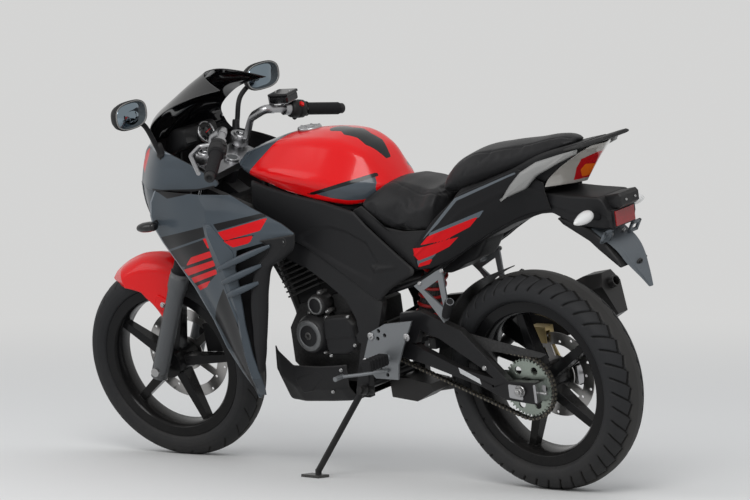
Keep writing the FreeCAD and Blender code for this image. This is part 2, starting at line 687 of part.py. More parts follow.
screen_rows = (
    (1160, 146, 962.6, 1312, 962.6), (1190, 150, 990, 1290, 1004), (1200, 150, 1030, 1240, 1058),
    (1140, 140, 1075, 1194, 1090), (1057, 115, 1106, 1140, 1130), (958, 98, 1126, 1080, 1165),
)
keep("windscreen", Part.makeLoft([screen_section(*row) for row in screen_rows], True, True))
dash_rows = ((-48, 950, 1004, 74), (-20, 940, 1008, 84), (26, 932, 980, 72))    # x from the stay, low, high, half
keep("dash", loft([
    [(cockpit_stay_x + x, -half, low), (cockpit_stay_x + x, half, low), (cockpit_stay_x + x, half, high),
     (cockpit_stay_x + x, -half, high)]
    for x, low, high, half in dash_rows]))
nodes["dash"] = nodes["dash"].cut(frame)
stalk = fuse([
    cylinder((1162, 160, 940), (1166, 206, 1046), 7),
    cylinder((1166, 206, 1046), (1140, 262, 1092), 7),
])


def oval(x, y, z, half_y, half_z, count=12):
    turns = [math.tau * index / count for index in range(count)]
    return [(x, y + half_y * math.cos(turn), z + half_z * math.sin(turn)) for turn in turns]


mirror_head = loft([oval(1122, 282, 1108, 72, 42), oval(1140, 280, 1106, 70, 40), oval(1168, 274, 1104, 36, 20)])
mirror = seated(fuse([stalk, mirror_head]), [nodes["upper_cowl"], nodes["windscreen"]])
keep("mirrors", both_sides(mirror))
front_signal = fuse([
    cylinder((1215, 164, 752), (1205, 200, 752), 7),
    loft([[(1232, 196, 740), (1232, 232, 742), (1232, 232, 760), (1232, 196, 764)],
          [(1172, 196, 742), (1172, 224, 744), (1172, 224, 764), (1172, 196, 768)]]),
])

# Side fairings

fairing_rows = (
    # height, then x and y of the front edge, the raised blade and the rear edge
    (250, 903, 168, 880, 172, 852, 174), (320, 964, 166, 856, 224, 836, 220),
    (400, 1010, 166, 870, 232, 854, 226), (470, 1047, 166, 884, 236, 868, 228),
    (565, 1104, 166, 906, 238, 862, 230), (640, 1162, 166, 927, 238, 868, 230),
    (694, 1204, 166, 942, 236, 861, 226), (742, 1236, 164, 955, 232, 652, 204),
    (770, 1246, 158, 960, 228, 700, 202), (809, 1240, 156, 965, 222, 799, 200),
    (847.6, 1205, 168, 1000, 206, 880, 200),
)


def fairing_section(z, front_x, front_y, blade_x, blade_y, rear_x, rear_y):
    return [(front_x, front_y, z), (blade_x, blade_y, z), (rear_x, rear_y, z),
            (rear_x, rear_y - wall, z), (blade_x, blade_y - wall, z), (front_x - 1, front_y - wall, z)]


side_fairing = loft([fairing_section(*row) for row in fairing_rows])
keep("side_fairings", both_sides(side_fairing))
keep("front_signals", both_sides(seated(front_signal, [side_fairing])))
trim_outline = [
    (650, 740), (666, 694), (743, 647), (771, 594), (792, 513), (836, 400), (858, 290),
    (877, 308), (853, 466), (847, 529), (829, 592), (801, 645), (749, 706), (800, 712), (780, 722),
]
trim_slope = 0.105
trim_rear_y = 199.6


def trim_face(x):
    return trim_rear_y + trim_slope * (x - 652)


trim = loft([[(x, trim_face(x) - 12, z) for x, z in trim_outline],
             [(x, trim_face(x), z) for x, z in trim_outline]])
trim_boss = cylinder((690, spar_outer + wall + 2 * side_gap, 704), (690, 196, 704), 9)
trim = seated(fuse([trim, trim_boss]), [side_fairing])
keep("fairing_trims", both_sides(trim))
fin_rows = ((927, 640, 866, 662, 731, 710), (917, 603, 864, 620, 783, 651), (906, 566, 861, 580, 806, 602))
fin_pieces = []
for x_tip, z_tip, x_edge, z_edge, x_rear, z_rear in fin_rows:
    rear_y = trim_face(x_rear) + side_gap
    fin_pieces.append(loft([
        [(x_tip, 238.6, z_tip - 2), (x_tip, 241, z_tip - 2), (x_tip, 241, z_tip + 2), (x_tip, 238.6, z_tip + 2)],
        [(x_edge, 231, z_edge - 12), (x_edge, 250, z_edge - 8), (x_edge, 246, z_edge + 10),
         (x_edge, 231, z_edge + 12)],
        [(x_rear, rear_y, z_rear - 9), (x_rear, rear_y + 14, z_rear - 6), (x_rear, rear_y + 10, z_rear + 7),
         (x_rear, rear_y, z_rear + 8)],
    ]))
fin_pieces = [seated(fin, [side_fairing, trim]) for fin in fin_pieces]
keep("fairing_fins", both_sides(Part.makeCompound(fin_pieces)))
cover_outline = [
    (853, 879), (800, 862), (699, 838), (592, 820), (486, 798), (388, 786), (354, 734), (308, 693), (280, 672),
    (320, 623), (349, 600), (397, 573), (438, 540), (556, 615), (679, 688), (760, 720), (860, 800),
]
keep("frame_covers", both_sides(prism(cover_outline, spar_outer + side_gap, spar_outer + side_gap + wall)))

# Rider controls and rests on the frame

hanger_outline = [
    (317, 495), (416, 482), (468, 458), (480, 440), (508, 378), (506, 360), (472, 325), (392, 325), (384, 370),
    (358, 421),
]


hanger_holes = ((440, 462), (420, 450), (446, 440), (448, 350), (428, 338), (470, 344))


def footrest():
    plate = prism(hanger_outline, 148, 154)
    drills = [cylinder((x, 140, z), (x, 160, z), 6) for x, z in hanger_holes]
    plate = plate.cut(Part.makeCompound(drills))
    peg = cylinder((420, 154, 386), (420, 246, 386), 10)
    stubs = [cylinder((x, spar_outer, z), (x, 148, z), 8) for x, z in ((470, 446), (500, 372))]
    return plate, peg, stubs


plate, peg, stubs = footrest()
shift_lever = tube([(420, 158, 352), (500, 172, 340), (580, 178, 330)], 5, 20)
shift_toe = cylinder((576, 174, 331), (576, 208, 331), 7)
footrest_left = fuse([plate, peg] + stubs + [shift_lever, shift_toe])
brake_pedal = tube([(420, 158, 352), (500, 172, 330), (590, 178, 316)], 6, 20)
pedal_toe = cylinder((586, 174, 317), (586, 210, 317), 8)
footrest_right = mirrored(fuse([plate, peg] + stubs + [brake_pedal, pedal_toe]))
keep("footrests", Part.makeCompound([footrest_left, footrest_right]))
bracket = prism([(312, 588), (226, 633), (207, 641), (200, 516), (222, 488), (287, 567)], 124, 130)
bracket = bracket.cut(prism([(278, 578), (224, 608), (217, 530)], 120, 134))
pillion_peg = cylinder((214, 130, 504), (160, 168, 560), 11)
bracket_stub = cylinder((258, 90, 607), (258, 124, 607), 8)
pillion_rest = seated(fuse([bracket, pillion_peg, bracket_stub]), [nodes["subframe"]])
keep("pillion_footrests", both_sides(pillion_rest))
hugger = Part.Face(polygon([(radius, y, rear_axle_z) for radius, y in
                            ((rear_tyre_radius + 12, -62), (rear_tyre_radius + 12, 62),
                             (rear_tyre_radius + 15, 64), (rear_tyre_radius + 15, -64))]))
hugger = hugger.revolve(Vector(0, 0, rear_axle_z), Vector(0, 1, 0), -62)
hugger.rotate(Vector(0, 0, rear_axle_z), Vector(0, 1, 0), -8)
guard = prism([(330, 474), (182, 451), (-82, 404), (-61, 393), (132, 405), (330, 440)],
              chain_y + chain_half_width + 0.6, arm_inner - side_gap)
keep("rear_hugger", fuse([hugger, box(296, 320, -arm_inner, arm_inner, 400, 430)]))
keep("chain_guard", guard)
shock_low = Vector(400.0, 0, 424.0)
shock_way = (shock_top - shock_low).normalize()
shock = fuse([
    cylinder(shock_low + shock_way * 8, shock_top - shock_way * 14, 12),
    cylinder(shock_low + shock_way * 50, shock_top - shock_way * 70, 30),
    cylinder((shock_low.x, -14, shock_low.z), (shock_low.x, 14, shock_low.z), 14.6),
    cylinder((shock_top.x, -14, shock_top.z), (shock_top.x, 14, shock_top.z), 18),
])
keep("shock_absorber", axle_hole(shock, shock_top.x, shock_top.z, 10 + side_gap, 60))
caliper_rear = box(20, 78, -86, -48, 392, 438)
caliper_arm = prism([(-18, 296), (14, 290), (70, 396), (30, 400)], -86, -79)
caliper_rear = fuse([caliper_rear, caliper_arm])
caliper_rear = axle_hole(caliper_rear, 0, rear_axle_z, rear_axle_radius + side_gap, 200)
disc_slot = cylinder((0, rear_disc_y - 7.2, rear_axle_z), (0, rear_disc_y + 7.2, rear_axle_z),
                     rear_disc_radius + 5.2)
keep("rear_caliper", caliper_rear.cut(disc_slot))

# Steering

yoke_low = head_low - yoke_gap - yoke_thickness
bottom_yoke = box(-26, fork_offset + 26, -fork_half_spacing - 26, fork_half_spacing + 26, yoke_low,
                  head_low - yoke_gap)
stem = cylinder((0, 0, yoke_low), (0, 0, head_high + yoke_gap + yoke_thickness + 10), stem_radius)
bottom_yoke = fuse([bottom_yoke, stem])
yoke_high = head_high + yoke_gap
top_yoke = fuse([
    box(-24, fork_offset + 22, -fork_half_spacing - 24, fork_half_spacing + 24, yoke_high,
        yoke_high + yoke_thickness),
    cylinder((0, 0, yoke_high), (0, 0, yoke_high + yoke_thickness + 10), 22),
])
top_yoke = top_yoke.cut(cylinder((0, 0, yoke_high - 5), (0, 0, yoke_high + 50), stem_radius + side_gap))
fork_tubes = []
fork_sliders = []
for side in (1, -1):
    y_fork = fork_half_spacing * side
    fork_tubes.append(cylinder((fork_offset, y_fork, slider_top - 20), (fork_offset, y_fork, fork_tube_top),
                               fork_tube_radius))
    bore = cylinder((fork_offset, y_fork, yoke_low - 10), (fork_offset, y_fork, fork_tube_top + 10),
                    fork_tube_radius + side_gap)
    bottom_yoke = bottom_yoke.cut(bore)
    top_yoke = top_yoke.cut(bore)
    lug_inner = (cheek_face + side_gap) * side
    lug_outer = (cheek_face + 10) * side
    slider = fuse([
        cylinder((fork_offset, y_fork, slider_bottom), (fork_offset, y_fork, slider_top), slider_radius),
        cylinder((fork_offset, y_fork, slider_top - 38), (fork_offset, y_fork, slider_top), slider_radius + 4),
        box(fork_offset, 108, min(lug_inner, lug_outer), max(lug_inner, lug_outer), 488, 514),
    ])
    slider = slider.cut(cylinder((fork_offset, y_fork, slider_top - 22), (fork_offset, y_fork, slider_top + 9),
                                 fork_tube_radius + side_gap))
    slider = slider.cut(cylinder((fork_offset, 0, axle_along), (fork_offset, 200 * side, axle_along),
                                 front_axle_radius + side_gap))
    fork_sliders.append(slider)
keep("bottom_yoke", fork_frame(bottom_yoke), "steering")
keep("top_yoke", fork_frame(top_yoke), "steering")
keep("fork_tubes", fork_frame(Part.makeCompound(fork_tubes)), "steering")
keep("fork_sliders", fork_frame(Part.makeCompound(fork_sliders)), "steering")
front_axle = fuse([
    cylinder((wheelbase, -124, front_axle_z), (wheelbase, 124, front_axle_z), front_axle_radius),
    cylinder((wheelbase, 119.4, front_axle_z), (wheelbase, 126, front_axle_z), 13),
])
keep("front_axle", front_axle, "steering")

bar_inner = fork_point(-13.0, 110, 1131.5)
bar_outer = fork_point(-128.3, 345, 1111.4)
bar_way = (bar_outer - bar_inner).normalize()
grip_start = bar_outer - bar_way * grip_length
clamp_low = fork_point(fork_offset, fork_half_spacing, fork_tube_top - 30)
clamp_high = fork_point(fork_offset, fork_half_spacing, fork_tube_top - 4)
riser = tube([clamp_low + Vector(-24, 0, 10), clamp_low + Vector(-52, 4, 70), bar_inner,
              bar_inner + bar_way * 30], 13, 22)
clamp = cylinder(clamp_low, clamp_high, fork_tube_radius + 10)
bar = cylinder(bar_inner, grip_start - bar_way * side_gap, handlebar_radius)
handlebar = fuse([clamp, riser, bar])
handlebar = handlebar.cut(cylinder(fork_point(fork_offset, fork_half_spacing, fork_tube_top - 80),
                                   fork_point(fork_offset, fork_half_spacing, fork_tube_top + 80),
                                   fork_tube_radius + side_gap))
keep("handlebars", both_sides(handlebar), "steering")
grip = fuse([cylinder(grip_start, bar_outer, grip_radius),
             cylinder(bar_outer, bar_outer + bar_way * 14, 15)])
keep("grips", both_sides(grip), "steering")
switch = cylinder(grip_start - bar_way * 46, grip_start - bar_way * 6, 21)
switch = switch.cut(cylinder(bar_inner, bar_outer, handlebar_radius + side_gap))
keep("switchgear", both_sides(switch), "steering")
lever_root = grip_start - bar_way * 70 + Vector(16, 0, -4)
lever_holder = cylinder(grip_start - bar_way * 76, grip_start - bar_way * 56, 18)
lever_holder = lever_holder.cut(cylinder(bar_inner, bar_outer, handlebar_radius + side_gap))
lever = tube([lever_root, lever_root + Vector(42, 20, 0), lever_root + Vector(44, 66, -14),
              bar_outer + Vector(52, -20, 2)], 6, 14)
hand_lever = fuse([lever_holder, lever])
cup_x = bar_inner.x - 25
cup_z = bar_inner.z + 2
reservoir = [box(cup_x - 26, cup_x + 34, -206, -150, cup_z, cup_z + 28),
             cylinder((cup_x, -178, cup_z - 10), (cup_x, -178, cup_z + 2), 10)]
brake_lever = fuse([mirrored(hand_lever)] + reservoir)
brake_lever = brake_lever.cut(mirrored(cylinder(bar_inner, bar_outer, handlebar_radius + side_gap)))
keep("hand_levers", Part.makeCompound([hand_lever, brake_lever]), "steering")

fender_rows = [(front_tyre_radius + 26, 0), (front_tyre_radius + 18, 40), (front_tyre_radius - 14, 62)]
fender_loop = fender_rows + [(radius - 4, y - 3 if y else 0) for radius, y in reversed(fender_rows)]
left_half = Part.Face(polygon([(wheelbase + radius, y, front_axle_z) for radius, y in fender_loop]))
fender_half = left_half.revolve(Vector(wheelbase, 0, front_axle_z), Vector(0, 1, 0), -76)
fender_half.rotate(Vector(wheelbase, 0, front_axle_z), Vector(0, 1, 0), -54)
cheek_outline = [(91, 520), (60, 474), (22, 437), (0, 440), (-20, 470), (-60, 560), (-40, 600), (50, 590)]
cheek = prism([(wheelbase + x, z) for x, z in cheek_outline], 61, cheek_face)
fender_side = fuse([fender_half, cheek])
keep("front_fender", fuse([fender_side, mirrored(fender_side)]), "steering")
caliper = fuse([box(wheelbase - 138, wheelbase - 82, -92, -38, 306, 392),
                box(wheelbase - 90, wheelbase - 40, -92, -72, 326, 376)])
disc_slot = cylinder((wheelbase, front_disc_y - 7, front_axle_z), (wheelbase, front_disc_y + 7, front_axle_z),
                     front_disc_radius + 5)
keep("front_caliper", seated(caliper, [disc_slot, nodes["fork_sliders"]]), "steering")


# Side stand, set straight on the ground


leg_down = (stand_foot - stand_pivot).normalize()
stand_folded = stand_folded.normalize()
stand_axis = leg_down.cross(stand_folded).normalize()
stand_fold_angle = math.degrees(leg_down.getAngle(stand_folded))
ear_half = 10.0
ear_radius = 14.0


def side_stand():
    pivot = parked.multVec(stand_pivot)
    foot = parked.multVec(stand_foot)
    ankle = Vector(foot.x, foot.y, stand_radius + 8)
    leg = cylinder(pivot, ankle, stand_radius)
    pad = Part.makeBox(64, 46, 8, Vector(foot.x - 26, foot.y - 16, 0))
    neck = Part.makeCylinder(stand_radius, 20, Vector(ankle.x, ankle.y, 2), Vector(0, 0, 1))
    axis = parked.Rotation.multVec(stand_axis)
    ears = Part.makeCylinder(ear_radius, 2 * ear_half, pivot - axis * ear_half, axis)
    stand = fuse([leg, pad, neck, ears])
    return stand.cut(Part.makeCylinder(stand_pin_radius + axle_clearance, 40, pivot - axis * 20, axis))


keep("side_stand", side_stand(), "side_stand")
collar_start = stand_pivot - stand_axis * (ear_half + side_gap + 24)
stand_pin = fuse([
    Part.makeCylinder(stand_pin_radius, 24 + 2 * ear_half + 2 * side_gap, collar_start, stand_axis),
    Part.makeCylinder(15, 24, collar_start, stand_axis),
    Part.makeCylinder(10, 5, stand_pivot + stand_axis * (ear_half + side_gap), stand_axis),
])
frame = fuse([frame, stand_pin])
keep("main_frame", seated(frame, [nodes["upper_cowl"], nodes["fuel_tank"]]))

# Parked pose and output

already_parked = ("side_stand",)
placed = {}
for body, names in bodies.items():
    for name in names:
        shape = nodes[name]
        if name in already_parked:
            placed[name] = shape
            continue
        if body in ("steering", "front_wheel"):
            shape = shape.transformed(steering.toMatrix())
        placed[name] = shape.transformed(parked.toMatrix())

whole = Part.makeCompound(list(placed.values()))
extent = whole.optimalBoundingBox(True, False)
centring = Vector(-(extent.XMin + extent.XMax) / 2, -(extent.YMin + extent.YMax) / 2, 0)
os.makedirs("parts", exist_ok=True)
for name, shape in placed.items():
    moved = shape.translated(centring)
    if len(moved.Solids) == 1:
        moved = moved.Solids[0]
    moved.exportStep("parts/" + name + ".step")


def told(point):
    moved = parked.multVec(point) + centring
    return [round(value, 3) for value in moved]


def told_way(way):
    return [round(value, 6) for value in parked.Rotation.multVec(way)]


print("extent", round(extent.XLength, 1), round(extent.YLength, 1), round(extent.ZLength, 1), "low", extent.ZMin)
print("pitch", round(pitch_angle, 4), "contacts", contacts(pitch_angle))
print("rear_axle", told(rear_centre), told_way(Vector(0, 1, 0)))
print("front_axle", told(steering.multVec(Vector(wheelbase, 0, front_axle_z))),
      told_way(steering.Rotation.multVec(Vector(0, 1, 0))))
print("steering", told(fork_point(0, 0, head_low)), told_way(steer_direction))
print("stand", told(stand_pivot), told_way(stand_axis))
foot_on_ground = parked.multVec(stand_foot) + centring
print("stand_foot", [round(foot_on_ground.x, 3), round(foot_on_ground.y, 3), 0.0])
print("stand_fold_angle", round(stand_fold_angle, 2))
for name, side in (("spool_left", 1), ("spool_right", -1)):
    spool = Vector(spool_x, side * (arm_inner + arm_outer) / 2, spool_z)
    print("mount", name, told(spool), told_way(Vector(0, side, 0)))
for name, shape in placed.items():
    print(name, len(shape.Solids), round(shape.Volume / 1000, 1), shape.isValid())
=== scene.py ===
import bpy
import json
import math
import numpy as np
from mathutils import Matrix, Vector


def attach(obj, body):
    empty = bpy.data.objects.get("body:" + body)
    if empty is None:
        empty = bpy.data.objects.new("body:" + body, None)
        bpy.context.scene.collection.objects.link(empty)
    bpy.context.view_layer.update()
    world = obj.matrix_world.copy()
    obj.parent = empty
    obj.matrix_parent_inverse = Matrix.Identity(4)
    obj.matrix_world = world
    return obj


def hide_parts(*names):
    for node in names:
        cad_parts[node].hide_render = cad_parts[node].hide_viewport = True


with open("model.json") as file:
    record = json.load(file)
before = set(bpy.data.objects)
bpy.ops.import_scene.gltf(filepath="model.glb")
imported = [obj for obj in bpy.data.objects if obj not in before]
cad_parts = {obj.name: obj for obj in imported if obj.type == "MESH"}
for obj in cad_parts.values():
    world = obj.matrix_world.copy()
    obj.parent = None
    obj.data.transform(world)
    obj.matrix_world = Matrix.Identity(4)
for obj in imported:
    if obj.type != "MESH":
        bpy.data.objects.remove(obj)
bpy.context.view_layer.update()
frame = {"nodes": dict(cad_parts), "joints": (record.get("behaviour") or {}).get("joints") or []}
nodes = frame["nodes"]
print("bike: frame loaded,", len(nodes), "solid pieces")

# The bike is worked out upright in millimetres: X forward, Y to the rider's left, Z up, rear axle
# above x = 0 and steering straight. place() leans it as it parks, placeSteered() turns the fork first.
chassis = dict(wheelbase=1370, rearAxle=305, frontAxle=296, caster=25, offset=39, steerRest=9.3)
joint = {item["name"]: item for item in frame["joints"]}
rearHub = np.array(joint["rear_wheel_spin"]["pos_m"])
acrossWay = np.array(joint["rear_wheel_spin"]["axis"])
steerWay = np.array(joint["steering"]["axis"])
sinCaster = math.sin(math.radians(chassis["caster"]))
cosCaster = math.cos(math.radians(chassis["caster"]))
aheadWay = np.cross(acrossWay, steerWay)
leaning = np.stack([cosCaster * aheadWay - sinCaster * steerWay, acrossWay,
    sinCaster * aheadWay + cosCaster * steerWay], axis=1)
trail = (chassis["frontAxle"] * sinCaster - chassis["offset"]) / cosCaster
steerGround = np.array([chassis["wheelbase"] + trail, 0.0, 0.0])
steerAxis = np.array([-sinCaster, 0.0, cosCaster])


def turnAbout(points, centre, axis, degrees):
    # Rodrigues' rotation of all the points at once
    angle = math.radians(degrees)
    axis = unit(axis)
    arm = np.asarray(points, float) - centre
    along = (arm @ axis)[..., None] * axis
    return centre + along + (arm - along) * math.cos(angle) + np.cross(axis, arm) * math.sin(angle)


def unit(ways):
    # each row made one long
    ways = np.asarray(ways, float)
    return ways / np.linalg.norm(ways, axis=-1, keepdims=True)


def place(points):
    # from the upright bike in millimetres to the leaning one in metres
    return rearHub + ((np.asarray(points, float) - [0, 0, chassis["rearAxle"]]) * 0.001) @ leaning.T


def placeSteered(points):
    # the same, turned first with the fork
    return place(turnAbout(points, steerGround, steerAxis, chassis["steerRest"]))


def fromFork(points):
    # from the fork's own frame (ahead of the steering axis, side, along it) to the upright bike
    points = np.asarray(points, float)
    ahead, side, along = points[..., 0], points[..., 1], points[..., 2]
    return np.stack([steerGround[0] + ahead * cosCaster - along * sinCaster, side,
        ahead * sinCaster + along * cosCaster], axis=-1)


def newGroup(name, inputs, *outputs):
    # a node group whose sockets all carry one number
    group = bpy.data.node_groups.new(name, "ShaderNodeTree")
    for label, value in inputs.items():
        socket = group.interface.new_socket(label, in_out="INPUT", socket_type="NodeSocketFloat")
        socket.default_value = value
    for label in outputs:
        group.interface.new_socket(label, in_out="OUTPUT", socket_type="NodeSocketFloat")
    return group, group.nodes.new("NodeGroupInput"), group.nodes.new("NodeGroupOutput")


def addNode(tree, kind, **settings):
    node = tree.nodes.new(kind)
    for key, value in settings.items():
        if key.startswith("in_"):
            node.inputs[key[3:].replace("_", " ")].default_value = value
        else:
            setattr(node, key, value)
    return node


def feed(tree, socket, value):
    # a number or a colour is set on the socket, the output of another node is linked to it
    if isinstance(value, (int, float)):
        socket.default_value = value
    elif isinstance(value, tuple):
        socket.default_value = value[:3] if len(socket.default_value) == 3 else (*value[:3], 1)
    else:
        tree.links.new(value, socket)


def mathNode(tree, operation, first, second, clamp=False):
    node = addNode(tree, "ShaderNodeMath", operation=operation, use_clamp=clamp)
    feed(tree, node.inputs[0], first)
    feed(tree, node.inputs[1], second)
    return node.outputs[0]


def buildGrain():
    # fine moulded or cast grain: two noises of one scale give a height and a slight shade
    group, inside, out = newGroup("fineGrain", dict(Scale=900.0, Shade=0.1), "Height", "Tone")
    link = group.links.new
    spot = addNode(group, "ShaderNodeTexCoord")
    fine = addNode(group, "ShaderNodeTexNoise", in_Detail=3.0, in_Roughness=0.6)
    broad = addNode(group, "ShaderNodeTexNoise", in_Scale=7.0, in_Detail=2.0)
    link(spot.outputs["Object"], fine.inputs["Vector"])
    link(spot.outputs["Object"], broad.inputs["Vector"])
    link(inside.outputs["Scale"], fine.inputs["Scale"])
    link(fine.outputs["Fac"], out.inputs["Height"])
    both = mathNode(group, "ADD", fine.outputs["Fac"], broad.outputs["Fac"])
    centred = mathNode(group, "SUBTRACT", both, 1.0)
    scaled = mathNode(group, "MULTIPLY", centred, inside.outputs["Shade"])
    link(mathNode(group, "ADD", scaled, 1.0), out.inputs["Tone"])
    return group


def buildDust():
    # road dust: lies on what faces up, gathers low down, broken by noise
    group, inside, out = newGroup("roadDust", {"Amount": 0.1, "Low Height": 0.35}, "Mask")
    link = group.links.new
    spot = addNode(group, "ShaderNodeTexCoord")
    shape = addNode(group, "ShaderNodeNewGeometry")
    cloud = addNode(group, "ShaderNodeTexNoise", in_Scale=22.0, in_Detail=6.0, in_Roughness=0.7)
    link(spot.outputs["Object"], cloud.inputs["Vector"])
    normal = addNode(group, "ShaderNodeSeparateXYZ")
    link(shape.outputs["Normal"], normal.inputs[0])
    position = addNode(group, "ShaderNodeSeparateXYZ")
    link(spot.outputs["Object"], position.inputs[0])
    upward = mathNode(group, "MAXIMUM", normal.outputs["Z"], 0.0)
    height = mathNode(group, "DIVIDE", position.outputs["Z"], inside.outputs["Low Height"])
    low = mathNode(group, "SUBTRACT", 1.0, height, clamp=True)
    lie = mathNode(group, "ADD", mathNode(group, "MULTIPLY", upward, 0.5), mathNode(group, "MULTIPLY", low, 0.8))
    patchy = mathNode(group, "MULTIPLY", lie, mathNode(group, "POWER", cloud.outputs["Fac"], 1.6))
    link(mathNode(group, "MULTIPLY", patchy, inside.outputs["Amount"], clamp=True), out.inputs["Mask"])
    return group


def buildWear():
    # bright rubbed edges, from the curvature of the surface
    group, inside, out = newGroup("edgeWear", dict(Amount=0.3), "Mask")
    link = group.links.new
    shape = addNode(group, "ShaderNodeNewGeometry")
    spot = addNode(group, "ShaderNodeTexCoord")
    chips = addNode(group, "ShaderNodeTexNoise", in_Scale=160.0, in_Detail=4.0)
    link(spot.outputs["Object"], chips.inputs["Vector"])
    edge = addNode(group, "ShaderNodeMapRange", in_From_Min=0.53, in_From_Max=0.60)
    link(shape.outputs["Pointiness"], edge.inputs["Value"])
    broken = mathNode(group, "MULTIPLY", edge.outputs["Result"], chips.outputs["Fac"])
    link(mathNode(group, "MULTIPLY", broken, inside.outputs["Amount"], clamp=True), out.inputs["Mask"])
    return group


def buildStep():
    # crisp edge of a painted field from its signed distance in millimetres, inside is 1
    group, inside, out = newGroup("fieldStep", dict(Distance=0.0), "Mask")
    sharp = mathNode(group, "MULTIPLY", inside.outputs["Distance"], 4.0)
    group.links.new(mathNode(group, "ADD", sharp, 0.5, clamp=True), out.inputs["Mask"])
    return group


grainGroup = buildGrain()
dustGroup = buildDust()
wearGroup = buildWear()
stepGroup = buildStep()


def groupNode(tree, group, **values):
    node = addNode(tree, "ShaderNodeGroup", node_tree=group)
    for key, value in values.items():
        node.inputs[key].default_value = value
    return node


def mixColour(tree, factor, first, second):
    node = addNode(tree, "ShaderNodeMix", data_type="RGBA")
    for index, value in ((0, factor), (6, first), (7, second)):
        feed(tree, node.inputs[index], value)
    return node.outputs[2]


paintLook = dict(dustColour=(0.30, 0.27, 0.23), wornColour=(0.45, 0.44, 0.42), dulling=0.6, bump=0.4, coatRough=0.05)


def makeFinish(name, settings):
    # fields are (attribute, colour) painted over the base colour in their order
    material = bpy.data.materials.new(name)
    material.use_nodes = True
    tree = material.node_tree
    link = tree.links.new
    shader = tree.nodes["Principled BSDF"]
    grain = groupNode(tree, grainGroup, Scale=settings.get("grain", 900.0), Shade=settings.get("shade", 0.12))
    colour = settings["colour"]
    for attribute, fieldColour in settings.get("fields", ()):
        reader = addNode(tree, "ShaderNodeAttribute", attribute_name=attribute)
        mask = groupNode(tree, stepGroup)
        link(reader.outputs["Fac"], mask.inputs["Distance"])
        colour = mixColour(tree, mask.outputs["Mask"], colour, fieldColour)
    toned = addNode(tree, "ShaderNodeVectorMath", operation="SCALE")
    feed(tree, toned.inputs[0], colour)
    link(grain.outputs["Tone"], toned.inputs["Scale"])
    colour = toned.outputs[0]
    roughness = mathNode(tree, "MULTIPLY", grain.outputs["Tone"], settings["rough"])
    if settings.get("wear", 0):
        wear = groupNode(tree, wearGroup, Amount=settings["wear"])
        colour = mixColour(tree, wear.outputs["Mask"], colour, paintLook["wornColour"])
    if settings.get("dust", 0):
        dust = groupNode(tree, dustGroup, Amount=settings["dust"])
        colour = mixColour(tree, dust.outputs["Mask"], colour, paintLook["dustColour"])
        dulled = mathNode(tree, "MULTIPLY", dust.outputs["Mask"], paintLook["dulling"])
        roughness = mathNode(tree, "ADD", roughness, dulled, clamp=True)
    link(colour, shader.inputs["Base Color"])
    link(roughness, shader.inputs["Roughness"])
    shader.inputs["Coat Roughness"].default_value = paintLook["coatRough"]
    for socket, key, usual in (("Metallic", "metal", 0.0), ("Coat Weight", "coat", 0.0),
            ("Sheen Weight", "sheen", 0.0),
            ("Specular IOR Level", "specular", 0.5), ("Transmission Weight", "through", 0.0)):
        shader.inputs[socket].default_value = settings.get(key, usual)
    if settings.get("depth", 0):
        bump = addNode(tree, "ShaderNodeBump", in_Strength=paintLook["bump"], in_Distance=settings["depth"])
        link(grain.outputs["Height"], bump.inputs["Height"])
        link(bump.outputs["Normal"], shader.inputs["Normal"])
    return material


